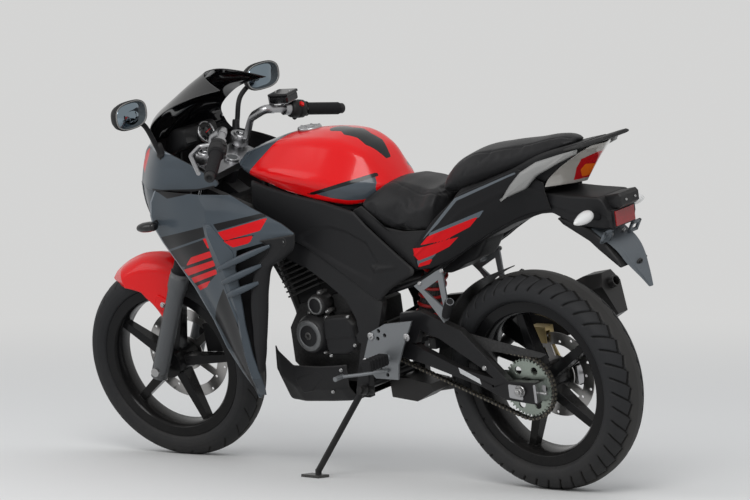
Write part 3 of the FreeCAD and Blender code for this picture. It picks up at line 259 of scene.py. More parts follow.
# colours that several finishes share, and what all the sprayed paints have alike
tint = dict(slate=(0.06, 0.074, 0.088), red=(0.7, 0.004, 0.006), stripeRed=(0.62, 0.004, 0.008),
    # the black is black paint, and on the fairings and cowl also painted shade
    blackAndShadeTone=(0.008, 0.008, 0.009))
sprayed = dict(shade=0.05, grain=300.0, depth=0.00003)
finishes = {
    # the tread's groove field is painted shade in its grooves
    "treadRubber": dict(colour=(0.02, 0.0205, 0.022), rough=0.6, shade=0.3, dust=0.12, grain=1300,
        depth=0.0002, specular=0.18, fields=(("worn", (0.034, 0.033, 0.032)), ("shadedGroove", (0.003, 0.003, 0.003)))),
    "tankPaint": dict(sprayed, colour=tint["red"], rough=0.22, coat=0.25,
        fields=(("greyField", tint["slate"]), ("blackAndShadeField", tint["blackAndShadeTone"])), specular=0.2),
    # on the fairings the black field is black moulding, painted shadow lines between the red stripes and painted
    # shade in the gap under the cowl
    "fairingPaint": dict(sprayed, colour=tint["slate"], rough=0.28, coat=0.1,
        fields=(("blackAndShadeField", tint["blackAndShadeTone"]), ("redField", tint["stripeRed"]),
            # the pale strip is a painted highlight along the front and upper edges
            ("highlightStrip", (0.2, 0.225, 0.25))),
        specular=0.12),
    "tailPaint": dict(sprayed, colour=(0.01, 0.01, 0.011), rough=0.34, coat=0.05,
        fields=(("borderField", (0.1, 0.12, 0.14)), ("redField", tint["stripeRed"]),
            # the pale strip is a painted highlight along the tail panel's upper edge
            ("highlightStrip", (0.11, 0.125, 0.14))),
        specular=0.12),
    "slatePaint": dict(sprayed, colour=tint["slate"], rough=0.28, coat=0.12, specular=0.15),
    "redPaint": dict(sprayed, colour=tint["red"], rough=0.22, coat=0.2, specular=0.2),
    "blackPlastic": dict(colour=(0.012, 0.012, 0.013), rough=0.5, shade=0.3, dust=0.1, grain=1500,
        depth=0.00025, wear=0.1, specular=0.18),
    "glossBlack": dict(colour=tint["blackAndShadeTone"], rough=0.16, coat=0.2, dust=0.05, grain=400, specular=0.3),
    "frameBlack": dict(colour=(0.01, 0.01, 0.011), rough=0.34, coat=0.08, dust=0.12, grain=500,
        depth=0.00008, wear=0.2, specular=0.18),
    "castBlack": dict(colour=(0.013, 0.013, 0.014), rough=0.45, shade=0.4, dust=0.15, grain=1100,
        depth=0.0003, wear=0.35, specular=0.18),
    "greyCast": dict(colour=(0.095, 0.1, 0.105), rough=0.38, metal=0.5, dust=0.1, depth=0.0001, wear=0.4),
    "bareAlloy": dict(colour=(0.42, 0.42, 0.43), rough=0.34, metal=1, dust=0.1, depth=0.00012, shade=0.2),
    "satinAlloy": dict(colour=(0.2, 0.21, 0.22), rough=0.42, metal=0.6, dust=0.1, depth=0.00012, shade=0.2),
    "wheelBlack": dict(colour=(0.006, 0.006, 0.0065), rough=0.24, coat=0.06, dust=0.06, grain=500,
        depth=0.00005, specular=0.14),
    "tyreRubber": dict(colour=(0.012, 0.012, 0.0125), rough=0.62, shade=0.35, dust=0.12, grain=1300,
        depth=0.0002, specular=0.18),
    "discSteel": dict(colour=(0.45, 0.44, 0.43), rough=0.3, metal=1, grain=600, shade=0.3),
    "axleSteel": dict(colour=(0.4, 0.4, 0.4), rough=0.32, metal=1, dust=0.1),
    "chainSteel": dict(colour=(0.2, 0.18, 0.14), rough=0.42, metal=1, dust=0.15, grain=1200, shade=0.5),
    "chainDark": dict(colour=(0.055, 0.052, 0.048), rough=0.45, metal=0.8, dust=0.1, grain=1200, shade=0.4),
    "zincSteel": dict(colour=(0.3, 0.34, 0.3), rough=0.32, metal=1, dust=0.1, grain=300, shade=0.4),
    "goldZinc": dict(colour=(0.46, 0.36, 0.18), rough=0.36, metal=1, dust=0.1, grain=400, shade=0.4),
    "forkChrome": dict(colour=(0.42, 0.42, 0.43), rough=0.08, metal=1, grain=300),
    "pipeBlack": dict(colour=(0.02, 0.019, 0.019), rough=0.42, metal=0.2, dust=0.15, grain=700,
        depth=0.0001, shade=0.5),
    "seatLeather": dict(colour=(0.012, 0.012, 0.013), rough=0.46, shade=0.35, dust=0.08, grain=700,
        depth=0.0005, sheen=0.05, specular=0.18),
    "smokedScreen": dict(colour=(0.006, 0.006, 0.007), rough=0.05, through=0.2, coat=0.3),
    "clearLens": dict(colour=(0.85, 0.85, 0.83), rough=0.06, through=0.8),
    "lampLens": dict(colour=(0.45, 0.46, 0.47), rough=0.06, through=0.55, coat=0.8),
    "frostLens": dict(colour=(0.8, 0.8, 0.79), rough=0.1, through=0.1, coat=0.6),
    "greyPlastic": dict(colour=(0.095, 0.108, 0.12), rough=0.42, shade=0.25, dust=0.1, grain=1500,
        depth=0.0002, specular=0.3),
    "tailLens": dict(colour=(0.42, 0.4, 0.37), rough=0.08, through=0.2, coat=0.8, shade=0.15,
        grain=500, fields=(("redField", (0.5, 0.008, 0.012)), ("amberField", (0.85, 0.16, 0.01)))),
    "redLens": dict(colour=(0.28, 0.008, 0.01), rough=0.1, through=0.1, coat=0.4),
    "gripRubber": dict(colour=(0.011, 0.011, 0.012), rough=0.66, shade=0.3, grain=1600, depth=0.0003,
        dust=0.06, specular=0.18),
    "mirrorGlass": dict(colour=(0.22, 0.27, 0.31), rough=0.03, metal=1),
    "silverPaint": dict(colour=(0.24, 0.24, 0.235), rough=0.42, metal=0.3, coat=0.2, dust=0.05,
        grain=900, depth=0.00005),
    "shockRed": dict(colour=(0.55, 0.02, 0.02), rough=0.3, coat=0.4, dust=0.1),
    "labelSilver": dict(colour=(0.55, 0.56, 0.57), rough=0.4, metal=0.5),
}
material = {name: makeFinish(name, settings) for name, settings in finishes.items()}
print("bike: finishes made")

# which finish each solid piece carries
nodeFinish = dict(
    slatePaint=["upper_cowl", "side_fairings", "fairing_fins"],
    redPaint=["fuel_tank", "front_fender"],
    blackPlastic=["belly_pan", "tail_cowls", "undertail", "plate_holder", "dash", "mirrors", "fairing_trims",
        "frame_covers", "rear_hugger", "chain_guard", "switchgear"],
    frameBlack=["main_frame", "subframe", "swingarm", "side_stand"],
    castBlack=["engine_case", "engine_cylinder", "engine_covers", "shock_absorber", "front_caliper"],
    greyCast=["fork_sliders", "bottom_yoke"],
    bareAlloy=["tank_cap", "top_yoke", "handlebars", "hand_levers"],
    satinAlloy=["footrests", "pillion_footrests"],
    silverPaint=["grab_rail"],
    wheelBlack=["front_rim", "rear_rim"],
    tyreRubber=["front_tyre", "rear_tyre"],
    discSteel=["front_disc", "rear_disc"],
    axleSteel=["rear_axle", "front_axle"],
    chainSteel=["drive_chain"],
    zincSteel=["rear_sprocket"],
    goldZinc=["rear_caliper"],
    forkChrome=["fork_tubes"],
    pipeBlack=["exhaust_pipe", "muffler"],
    seatLeather=["rider_seat", "pillion_seat"],
    smokedScreen=["windscreen"],
    clearLens=["headlamp", "front_signals", "rear_signals"],
    redLens=["tail_lamp"],
    gripRubber=["grips"]
)
for finishName, names in nodeFinish.items():
    for nodeName in names:
        piece = nodes[nodeName]
        piece.data.materials.clear()
        piece.data.materials.append(material[finishName])

# rolled edges on the hard solid pieces, so that they catch light as cast and folded parts do
edgeRolls = dict(
    main_frame=2.0, swingarm=2.5, subframe=0.8, side_stand=1.0, engine_case=4.0,
    engine_covers=4.0, engine_cylinder=0.8, footrests=1.2, pillion_footrests=1.2, top_yoke=2.0,
    bottom_yoke=2.0, fork_sliders=1.0, front_rim=2.5, rear_rim=2.5, rear_caliper=2.5,
    front_caliper=2.5, exhaust_pipe=1.5, muffler=9.0, switchgear=2.0, tank_cap=1.5,
    front_disc=0.4, rear_disc=0.4, rear_sprocket=0.5, handlebars=1.0
)
for nodeName, width in edgeRolls.items():
    piece = nodes[nodeName]
    weld = piece.modifiers.new("Weld", "WELD")
    weld.merge_threshold = 0.00002
    roll = piece.modifiers.new("Roll", "BEVEL")
    roll.width = width * 0.001
    roll.segments = 2
    roll.limit_method = "ANGLE"
    roll.angle_limit = math.radians(35)
    roll.harden_normals = True
    roll.use_clamp_overlap = True


# Surfaces. A part is points in upright millimetres, quads and triangles as rows of point numbers, and a
# finish number. Every part is a closed shell, and its faces are turned outward by its signed volume.


def gridPart(points, closeRows=False, closeCols=False, caps=False, finish=0, smooth=True):
    # quads between neighbours of a rows by columns grid; a cap is a fan round the end row's mean point
    rows, cols = points.shape[:2]
    row = np.arange(rows if closeRows else rows - 1)[:, None]
    col = np.arange(cols if closeCols else cols - 1)[None, :]
    nextRow, nextCol = (row + 1) % rows, (col + 1) % cols
    quads = np.stack([row * cols + col, row * cols + nextCol, nextRow * cols + nextCol, nextRow * cols + col], -1)
    flat = points.reshape(-1, 3)
    triangles = np.zeros((0, 3), int)
    if caps:
        around = np.arange(cols)
        after = (around + 1) % cols
        first, last = len(flat), len(flat) + 1
        flat = np.vstack([flat, points[0].mean(axis=0), points[-1].mean(axis=0)])
        start = np.stack([after, around, np.full(cols, first)], -1)
        end = np.stack([around, after, np.full(cols, last)], -1)
        end[:, :2] += (rows - 1) * cols
        triangles = np.vstack([start, end])
    return dict(points=flat, quads=quads.reshape(-1, 4), triangles=triangles, finish=finish, smooth=smooth)


def ringsPart(rings, finish=0, smooth=True):
    # closed rings one after another, both ends capped
    return gridPart(np.array(rings), closeCols=True, caps=True, finish=finish, smooth=smooth)


def turnedOutward(part):
    # signed volume by the sum of the corner tetrahedra; a negative one means that the faces point inward
    points = part["points"] - part["points"].mean(axis=0)
    quads, triangles = part["quads"], part["triangles"]
    every = np.vstack([quads[:, [0, 1, 2]], quads[:, [0, 2, 3]], triangles])
    a, b, c = points[every[:, 0]], points[every[:, 1]], points[every[:, 2]]
    if np.einsum("ij,ij->i", a, np.cross(b, c)).sum() < 0:
        return dict(part, quads=quads[:, ::-1], triangles=triangles[:, ::-1])
    return part


def mirrored(part):
    return dict(part, points=part["points"] * [1, -1, 1])


def bothSides(parts):
    return parts + [mirrored(part) for part in parts]


def makeMesh(name, parts, finishNames, steered, fields):
    # joins the parts into one mesh; fields are named functions that give each upright point a number
    parts = [turnedOutward(part) for part in parts]
    starts = np.cumsum([0] + [len(part["points"]) for part in parts])
    points = np.vstack([part["points"] for part in parts])
    quads = np.vstack([part["quads"] + start for part, start in zip(parts, starts)])
    triangles = np.vstack([part["triangles"] + start for part, start in zip(parts, starts)])
    corners = np.concatenate([quads.ravel(), triangles.ravel()]).astype(np.int32)
    totals = np.concatenate([np.full(len(quads), 4), np.full(len(triangles), 3)]).astype(np.int32)

    def spread(key):
        wide = [np.broadcast_to(part[key], len(part["quads"])) for part in parts]
        narrow = [np.broadcast_to(np.ravel(part[key])[0], len(part["triangles"])) for part in parts]
        return np.concatenate(wide + narrow)
    mesh = bpy.data.meshes.new(name)
    mesh.vertices.add(len(points))
    placed = placeSteered(points) if steered else place(points)
    mesh.vertices.foreach_set("co", placed.astype(np.float32).ravel())
    mesh.loops.add(len(corners))
    mesh.loops.foreach_set("vertex_index", corners)
    mesh.polygons.add(len(totals))
    mesh.polygons.foreach_set("loop_start", np.concatenate([[0], np.cumsum(totals)[:-1]]).astype(np.int32))
    mesh.polygons.foreach_set("loop_total", totals)
    mesh.polygons.foreach_set("material_index", spread("finish").astype(np.int32))
    mesh.polygons.foreach_set("use_smooth", spread("smooth").astype(bool))
    for finishName in finishNames:
        mesh.materials.append(material[finishName])
    for fieldName, rule in fields.items():
        layer = mesh.attributes.new(fieldName, "FLOAT", "POINT")
        layer.data.foreach_set("value", rule(points).astype(np.float32))
    mesh.update(calc_edges=True)
    mesh.validate()
    return mesh


def addObject(name, data):
    item = bpy.data.objects.new(name, data)
    bpy.context.scene.collection.objects.link(item)
    return item


def makePiece(name, parts, finishNames, body="chassis", fields=None, standsFor=()):
    # one object from closed parts, riding on a body; what turns with the fork is drawn with straight steering
    steered = body in ("steering_assembly", "front_wheel")
    piece = addObject(name, makeMesh(name, parts, finishNames, steered, fields or {}))
    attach(piece, body)
    if standsFor:
        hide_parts(*standsFor)
    print("bike:", name, sum(len(part["quads"]) * 2 + len(part["triangles"]) for part in parts), "triangles")
    return piece


def throughRows(control, knots, wanted):
    # cubic Hermite curve through the control rows; each row's slope is the weighted mean of its two chords
    control, knots, wanted = np.asarray(control, float), np.asarray(knots, float), np.asarray(wanted, float)
    if knots[-1] < knots[0]:
        knots, wanted = -knots, -wanted
    step = np.diff(knots)
    shape = (-1,) + (1,) * (control.ndim - 1)
    chord = np.diff(control, axis=0) / step.reshape(shape)
    slope = np.empty_like(control)
    weight = (step[:-1] / (step[:-1] + step[1:])).reshape(shape)
    slope[1:-1] = chord[:-1] * (1 - weight) + chord[1:] * weight
    slope[0], slope[-1] = chord[0], chord[-1]
    low = np.clip(np.searchsorted(knots, wanted, side="right") - 1, 0, len(knots) - 2)
    gap = step[low].reshape(shape)
    share = ((wanted - knots[low]) / step[low]).reshape(shape)
    share2, share3 = share ** 2, share ** 3
    return ((2 * share3 - 3 * share2 + 1) * control[low] + (share3 - 2 * share2 + share) * gap * slope[low]
        + (3 * share2 - 2 * share3) * control[low + 1] + (share3 - share2) * gap * slope[low + 1])


def smoothLine(points, count):
    # the curve through the points, sampled evenly along its chords
    points = np.asarray(points, float)
    knots = lengthAlong(points)
    return throughRows(points, knots, np.linspace(0, knots[-1], count))


def roundedOutline(corners, radii, arcSteps=4):
    # closed outline whose corners are arcs tangent to both sides, of as many points each
    corners = np.asarray(corners, float)
    radii = np.broadcast_to(radii, len(corners))
    before = np.roll(corners, 1, axis=0) - corners
    after = np.roll(corners, -1, axis=0) - corners
    lengthBefore = np.linalg.norm(before, axis=1, keepdims=True)
    lengthAfter = np.linalg.norm(after, axis=1, keepdims=True)
    before, after = before / lengthBefore, after / lengthAfter
    half = np.arccos(np.clip((before * after).sum(axis=1), -0.9999, 0.9999))[:, None] / 2
    reach = np.minimum(radii[:, None] / np.tan(half), 0.48 * np.minimum(lengthBefore, lengthAfter))
    share = np.linspace(0, 1, arcSteps + 1)[None, :, None]
    start, end = (corners + before * reach)[:, None], (corners + after * reach)[:, None]
    middle = corners[:, None]
    curve = start * (1 - share) ** 2 + 2 * middle * share * (1 - share) + end * share ** 2
    return curve.reshape(-1, corners.shape[1])


def lengthAlong(points):
    return np.concatenate([[0], np.cumsum(np.linalg.norm(np.diff(points, axis=0), axis=1))])


def evenLine(points, count, endpoint=True):
    # a line sampled again at even steps of its length
    length = lengthAlong(points)
    return interpolated(length, points, np.linspace(0, length[-1], count, endpoint=endpoint))


def evenLoop(points, count):
    return evenLine(np.vstack([points, points[:1]]), count, False)


def interpolated(knots, rows, wanted):
    # straight between the rows, each column by itself; the knots may run down
    way = 1 if knots[-1] > knots[0] else -1
    return np.stack([np.interp(wanted * way, knots * way, rows[:, column]) for column in range(rows.shape[1])], -1)


def curvedRows(rows, count):
    # a table's rows at even steps of its first column, on a smooth curve
    return throughRows(rows, rows[:, 0], np.linspace(rows[0, 0], rows[-1, 0], count))


def straightRows(rows, count):
    # the same on straight lines
    return interpolated(rows[:, 0], rows, np.linspace(rows[0, 0], rows[-1, 0], count))


def awayFrom(way):
    # upward, or forward where the way itself is almost upright
    return [0, 0, 1.0] if abs(way[2]) < 0.9 else [1.0, 0, 0]


def circleRound(side, up, sides):
    # unit vectors all the way round, from side towards up
    turn = np.linspace(0, 2 * np.pi, sides, endpoint=False)[None, :, None]
    return np.cos(turn) * side + np.sin(turn) * up


def frameAlong(path):
    # tangents of a path and two directions across it that turn as little as they can
    path = np.asarray(path, float)
    tangent = unit(np.gradient(path, axis=0))
    side = np.empty_like(tangent)
    first = np.cross(tangent[0], awayFrom(tangent[0]))
    for index, way in enumerate(tangent):
        first = unit(first - way * (first @ way))
        side[index] = first
    return tangent, side, np.cross(tangent, side)


def tubeAlong(path, radius, sides=16, count=None, finish=0):
    # a circle carried along the smooth line through the path, its ends rounded over by two shrinking circles
    path = smoothLine(path, count or 6 * len(path))
    radius = np.broadcast_to(radius, len(path)).astype(float)
    tangent, side, up = frameAlong(path)
    lead = np.array([0.55, 0.9])
    ends = [path[0] - tangent[0] * radius[0] * 0.18, path[0] - tangent[0] * radius[0] * 0.08]
    tips = [path[-1] + tangent[-1] * radius[-1] * 0.08, path[-1] + tangent[-1] * radius[-1] * 0.18]
    path = np.vstack([ends, path, tips])
    radius = np.concatenate([radius[0] * lead, radius, radius[-1] * lead[::-1]])
    side = np.vstack([side[:1], side[:1], side, side[-1:], side[-1:]])
    up = np.vstack([up[:1], up[:1], up, up[-1:], up[-1:]])
    ring = circleRound(side[:, None], up[:, None], sides) * radius[:, None, None]
    return ringsPart(path[:, None] + ring, finish=finish)


def turnedPart(profile, start, way, sides=32, finish=0, closed=False):
    # (radius, distance) profile turned about the line from start along way; an open one runs in at both ends
    if not closed:
        ends = [[(0.5, row[1])] if row[0] > 0.5 else [] for row in (profile[0], profile[-1])]
        profile = ends[0] + list(profile) + ends[1]
    profile = np.asarray(profile, float)
    way = unit(way)
    side = unit(np.cross(way, awayFrom(way)))
    ringWay = circleRound(side, np.cross(way, side), sides)
    points = np.asarray(start, float) + profile[:, 1, None, None] * way + ringWay * profile[:, 0, None, None]
    return gridPart(points, closeRows=closed, closeCols=True, caps=not closed, finish=finish)


def slabPart(outline, low, high, roll=1.0, finish=0, smooth=False, axis=1, inset=0.0):
    # outline of (x, z) points as a plate across the bike, its two rims rolled over by a small chamfer
    outline = np.asarray(outline, float)
    before, after = np.roll(outline, 1, axis=0), np.roll(outline, -1, axis=0)
    edge = after - before
    area = (before[:, 0] * outline[:, 1] - outline[:, 0] * before[:, 1]).sum()
    inward = np.stack([-edge[:, 1], edge[:, 0]], -1) * np.sign(area)
    inward /= np.linalg.norm(inward, axis=1, keepdims=True) + 1e-9
    rings = []
    for shrink, level in ((roll + inset, low), (0, low + roll), (0, high - roll), (roll + inset, high)):
        ring = outline + inward * shrink
        rings.append(np.insert(ring, axis, level, axis=1))
    return ringsPart(np.array(rings), finish=finish, smooth=smooth)


def boltPart(place, way, size=5.0, finish=0):
    # a washer and a six-sided head with a rounded top, its foot 1 mm below the seat
    washer = turnedPart([(0.3, -1), (size * 1.15, -1), (size * 1.15, 1.0), (0.3, 1.2)], place, way, 12, finish)
    head = turnedPart([(0.3, 0), (size * 0.95, 0.6), (size * 0.95, size * 0.7), (size * 0.75, size * 0.85),
        (0.3, size * 0.85)], place, way, 6, finish)
    return [washer, dict(head, smooth=False)]


def blockPart(low, high, roll=2.0, finish=0):
    # a box whose edges are rolled: a rounded outline with a smaller copy at each end
    corners = [(low[0], low[2]), (high[0], low[2]), (high[0], high[2]), (low[0], high[2])]
    return slabPart(roundedOutline(corners, roll * 1.5, 2), low[1], high[1], roll, finish)


def edgeDistance(flat, starts, ends):
    # the least distance from each flat point to a run of straight edges
    best = np.full(len(flat), 1e9)
    for first, edge in zip(starts, ends - starts):
        share = np.clip(((flat - first) @ edge) / (edge @ edge), 0, 1)
        best = np.minimum(best, np.linalg.norm(flat - first - share[:, None] * edge, axis=1))
    return best


def fieldOf(polygon, axes=(0, 2), side=None):
    # signed distance in mm to a closed outline seen along one axis: plus inside, minus outside
    corners = np.asarray(polygon, float)
    after = np.roll(corners, -1, axis=0)

    def rule(points):
        flat = points[:, axes]
        best = edgeDistance(flat, corners, after)
        inside = np.zeros(len(flat), bool)
        for first, second in zip(corners, after):
            edge = second - first
            crosses = (first[1] > flat[:, 1]) != (second[1] > flat[:, 1])
            rise = np.where(abs(edge[1]) < 1e-9, 1e-9, edge[1])
            inside ^= crosses & (flat[:, 0] < first[0] + edge[0] * (flat[:, 1] - first[1]) / rise)
        signed = np.where(inside, best, -best)
        if side is not None:
            signed = np.minimum(signed, side(points))
        return signed
    return rule


def joinFields(rules):
    # the largest of several signed distances, so that the outlines count as one field
    return lambda points: np.max([rule(points) for rule in rules], axis=0)


def fieldsOf(*outlines, axes=(0, 2)):
    return joinFields([fieldOf(outline, axes) for outline in outlines])


def shellPart(outer, inner, finish=0, smooth=True, within=None):
    # two grids of one size, joined round their four borders into a thin closed shell
    rows, cols = outer.shape[:2]
    number = np.arange(rows * cols).reshape(rows, cols)
    quads = np.stack([number[:-1, :-1], number[:-1, 1:], number[1:, 1:], number[1:, :-1]], -1).reshape(-1, 4)
    border = np.concatenate([number[0, :-1], number[:-1, -1], number[-1, :0:-1], number[:0:-1, 0]])
    after = np.roll(border, -1)
    count = rows * cols
    rim = np.stack([after, border, border + count, after + count], -1)
    inside = finish if within is None else within
    finish = np.concatenate([np.full(len(quads), finish), np.full(len(quads) + len(rim), inside)])
    return dict(points=np.vstack([outer.reshape(-1, 3), inner.reshape(-1, 3)]),
        quads=np.vstack([quads, quads[:, ::-1] + count, rim]),
        triangles=np.zeros((0, 3), int), finish=finish, smooth=smooth)


def softened(values, window):
    # moving mean along the rows, the ends held
    kernel = np.hanning(window + 2)[1:-1]
    kernel /= kernel.sum()
    padded = np.concatenate([np.repeat(values[:1], window // 2, axis=0), values,
        np.repeat(values[-1:], window - 1 - window // 2, axis=0)])
    return np.stack([np.convolve(padded[:, column], kernel, mode="valid") for column in range(values.shape[1])], -1)


# Tyres: each section is a crown arc, a bulging sidewall and a bead; swept grooves are pressed into the crown and
# given painted shade

tyres = {
    "front": dict(centre=(chassis["wheelbase"], chassis["frontAxle"]), radius=297.5, halfWidth=51, foot=36.5,
        around=800, grooves=26, sweep=0.9, width=0.10, grooveFrom=14, grooveTo=58, depth=3.5, stair=6,
        body="front_wheel", node="front_tyre"),
    "rear": dict(centre=(0.0, chassis["rearAxle"]), radius=305.5, halfWidth=66, foot=43.5,
        around=1200, grooves=42, sweep=0.95, width=0.17, grooveFrom=24, grooveTo=84, depth=5.0, stair=11,
        body="rear_wheel", node="rear_tyre"),
}


def tyreSection(spec):
    # half a section from the crown's middle to the bead, as (radius, side)
    crown = spec["halfWidth"] / math.sin(math.radians(60))
    turn = np.radians([0, 18, 36, 52])
    radius, half, foot = spec["radius"], spec["halfWidth"], spec["foot"]
    crownLine = np.stack([radius - crown * (1 - np.cos(turn)), crown * np.sin(turn)], -1)
    bulge = [(262, half * 0.985), (250, half), (240, half - 3), (232.5, (half + foot) / 2), (229.2, foot)]
    return smoothLine(np.vstack([crownLine, bulge]), 40)


def tyrePart(spec):
    # the section is carried round the wheel; grooves are where the turn, led by the sweep, is near a whole step
    half = tyreSection(spec)
    section = np.vstack([half[::-1] * [1, -1], half[1:]])
    along = np.gradient(section, axis=0)
    reach = lengthAlong(section)
    reach -= reach.mean()
    normal = unit(np.stack([along[:, 1], -along[:, 0]], -1))
    turn = np.linspace(0, 2 * np.pi, spec["around"], endpoint=False)
    span = np.abs(reach)[None, :]
    inTread = np.clip((span - spec["grooveFrom"]) / 4, 0, 1) * np.clip((spec["grooveTo"] - span) / 5, 0, 1)
    share = np.clip((span - spec["grooveFrom"]) / (spec["grooveTo"] - spec["grooveFrom"]), 0, 1)
    phase = turn[:, None] * spec["grooves"] / (2 * np.pi) + spec["sweep"] * share ** 0.8 + (reach > 0)[None, :] * 0.5
    away = np.abs(phase % 1.0 - 0.5)
    width = spec["width"] * (0.65 + 0.5 * share)
    shadedGroove = np.clip((width / 2 - away) / 0.035, 0, 1) * inTread
    stair = np.abs(span - spec["grooveFrom"] - spec["stair"] * ((phase + 0.5) % 1.0))
    shadedGroove = np.maximum(shadedGroove, np.clip(1.7 - stair / 2.2, 0, 1))
    ribs = np.exp(-((section[:, 0] - 258) / 1.6) ** 2) + np.exp(-((section[:, 0] - 238) / 1.4) ** 2)
    offset = -spec["depth"] * shadedGroove + 0.7 * ribs[None, :]
    shape = section[None] + normal[None] * offset[..., None]
    x = spec["centre"][0] + shape[..., 0] * np.cos(turn)[:, None]
    z = spec["centre"][1] + shape[..., 0] * np.sin(turn)[:, None]
    part = gridPart(np.stack([x, shape[..., 1], z], -1), closeRows=True, closeCols=True)
    # the groove mask also paints the grooves darker: painted shade on top of their real depth
    fields = dict(shadedGroove=shadedGroove.ravel() * 4 - 2,
        worn=np.broadcast_to(spec["grooveFrom"] + 4 - span, shadedGroove.shape).ravel())
    return part, fields


for tyreName, spec in tyres.items():
    part, values = tyrePart(spec)
    makePiece(tyreName + "TyreTread", [part], ["treadRubber"], spec["body"],
        {name: (lambda points, value=value: value) for name, value in values.items()}, [spec["node"]])

# Tank: rounded sections through a short table, the bottom flat, the shoulders full

tankRows = np.array([
    # x, bottom z, its half width, widest z, its half width, top z, its half width, crown
    (944, 912, 44, 918, 64, 932, 36, 5), (935, 905, 58, 915, 88, 940, 50, 6), (905, 892, 86, 906, 116, 955, 64, 9),
    (861, 880, 112, 901, 141, 970, 76, 11), (800, 868, 128, 898, 158, 988, 86, 14),
    (735, 848, 133, 893, 165, 998, 92, 16), (670, 834, 134, 888, 166, 1003, 94, 17),
    (610, 821, 132, 880, 162, 1002, 92, 17), (560, 812, 124, 872, 154, 994, 88, 16),
    (515, 806, 112, 862, 142, 975, 82, 15), (480, 810, 96, 856, 122, 951, 72, 12),
    (440, 826, 72, 856, 90, 902, 50, 9), (418, 838, 48, 852, 62, 872, 34, 6), (409, 846, 28, 852, 40, 862, 20, 4),
])
tankLook = dict(rows=150, around=132, bottomRound=10, sideRound=34, topRound=46)


def loftPart(rows, corners, radii, arcSteps, count, finish=0):
    # one rounded section at each row's x; its corners follow from the row's other numbers
    sections = [evenLoop(roundedOutline(corners(*row[1:]), radii, arcSteps), count) for row in rows]
    return ringsPart([np.insert(section, 0, row[0], axis=1) for section, row in zip(sections, rows)], finish)


def archCorners(lowZ, lowHalf, midZ, midHalf, topZ, topHalf, crown):
    # floor, widest line, shoulder and crown on both sides
    return [(0, lowZ), (lowHalf, lowZ), (midHalf, midZ), (topHalf, topZ - crown), (0, topZ),
        (-topHalf, topZ - crown), (-midHalf, midZ), (-lowHalf, lowZ)]


def archPart(rows, look):
    # the table's rows are joined by a smooth curve before each section is drawn
    side = [look["bottomRound"], look["sideRound"], look["topRound"]]
    return loftPart(curvedRows(rows, look["rows"]), archCorners, [5, *side, 300, *side[::-1]], 6, look["around"])


tankFields = dict(
    greyField=fieldsOf(
        [(868, 860), (856, 893), (826, 930), (783, 976), (760, 1015), (960, 1015), (960, 860)],
        [(612, 843), (520, 863), (446, 880), (438, 862), (444, 824), (480, 819), (515, 821), (560, 829)]),
    blackAndShadeField=joinFields([
        fieldOf([(650, 841), (520, 873), (446, 889), (440, 879), (520, 862), (620, 839)]),
        fieldOf([(640, -16), (622, -34), (590, -26), (566, -42), (530, -30), (498, -36), (452, -10), (452, 10),
            (498, 36), (530, 30), (566, 42), (590, 26), (622, 34), (640, 16)], (0, 1),
            lambda points: points[:, 2] - 900)])
)
makePiece("smoothTank", [archPart(tankRows, tankLook)], ["tankPaint"], fields=tankFields, standsFor=["fuel_tank"])

# Filler cap: a turned ring with six screws and a key flap

capMiddle = np.array([728, 0, 991])
capParts = [turnedPart([(34, 0), (34.6, 8), (33, 11.5), (25, 12.5), (23.5, 10.5)], capMiddle, (0, 0, 1), 64)]
for turn in np.radians(np.arange(0, 360, 60)):
    capParts += boltPart(capMiddle + [29 * math.cos(turn), 29 * math.sin(turn), 11.5], (0, 0, 1), 3.2)
capParts.append(slabPart(roundedOutline([(714, 1000.5), (742, 1000.5), (742, 1004), (714, 1004)], 1.5), -7, 7, 1.0))
makePiece("fillerCap", capParts, ["bareAlloy"], standsFor=["tank_cap"])

# Side fairings: the front edge, the blade's ridge and the rear edge are three lines in height

fairingRows = np.array([
    # z, then x and y of the front edge, of the blade and of the rear edge
    (250, 905, 168, 900, 171, 895, 173), (286, 934, 167, 880, 196, 858, 197), (322, 964, 166, 862, 222, 844, 220),
    (390, 1010, 166, 874, 232, 857, 226), (470, 1047, 166, 886, 236, 868, 228), (565, 1104, 166, 908, 238, 868, 230),
    (640, 1162, 166, 927, 238, 872, 230),
    (694, 1204, 166, 942, 236, 861, 226), (742, 1236, 164, 955, 232, 652, 204), (770, 1246, 158, 960, 228, 700, 202),
    (809, 1240, 156, 965, 222, 799, 200), (847.6, 1205, 168, 1000, 206, 880, 200),
])
fairingLook = dict(rows=164, frontSteps=44, rearSteps=34, wall=4, strip=6.0, spearRise=8, bulge=6)


def fairingLines(z):
    # x and y of the front edge, the blade and the rear edge at each height
    return interpolated(fairingRows[:, 0], fairingRows[:, 1:], z)


def fairingSide(x, z):
    # side of the outer face at any point, straight between the three lines
    frontX, frontY, bladeX, bladeY, rearX, rearY = np.moveaxis(fairingLines(z), -1, 0)
    ahead = np.clip((x - bladeX) / np.maximum(frontX - bladeX, 1), 0, 1)
    behind = np.clip((bladeX - x) / np.maximum(bladeX - rearX, 1), 0, 1)
    bulge = fairingLook["bulge"] * np.sin(np.pi * ahead) ** 2
    return np.where(x > bladeX, bladeY + (frontY - bladeY) * ahead, bladeY + (rearY - bladeY) * behind) + bulge


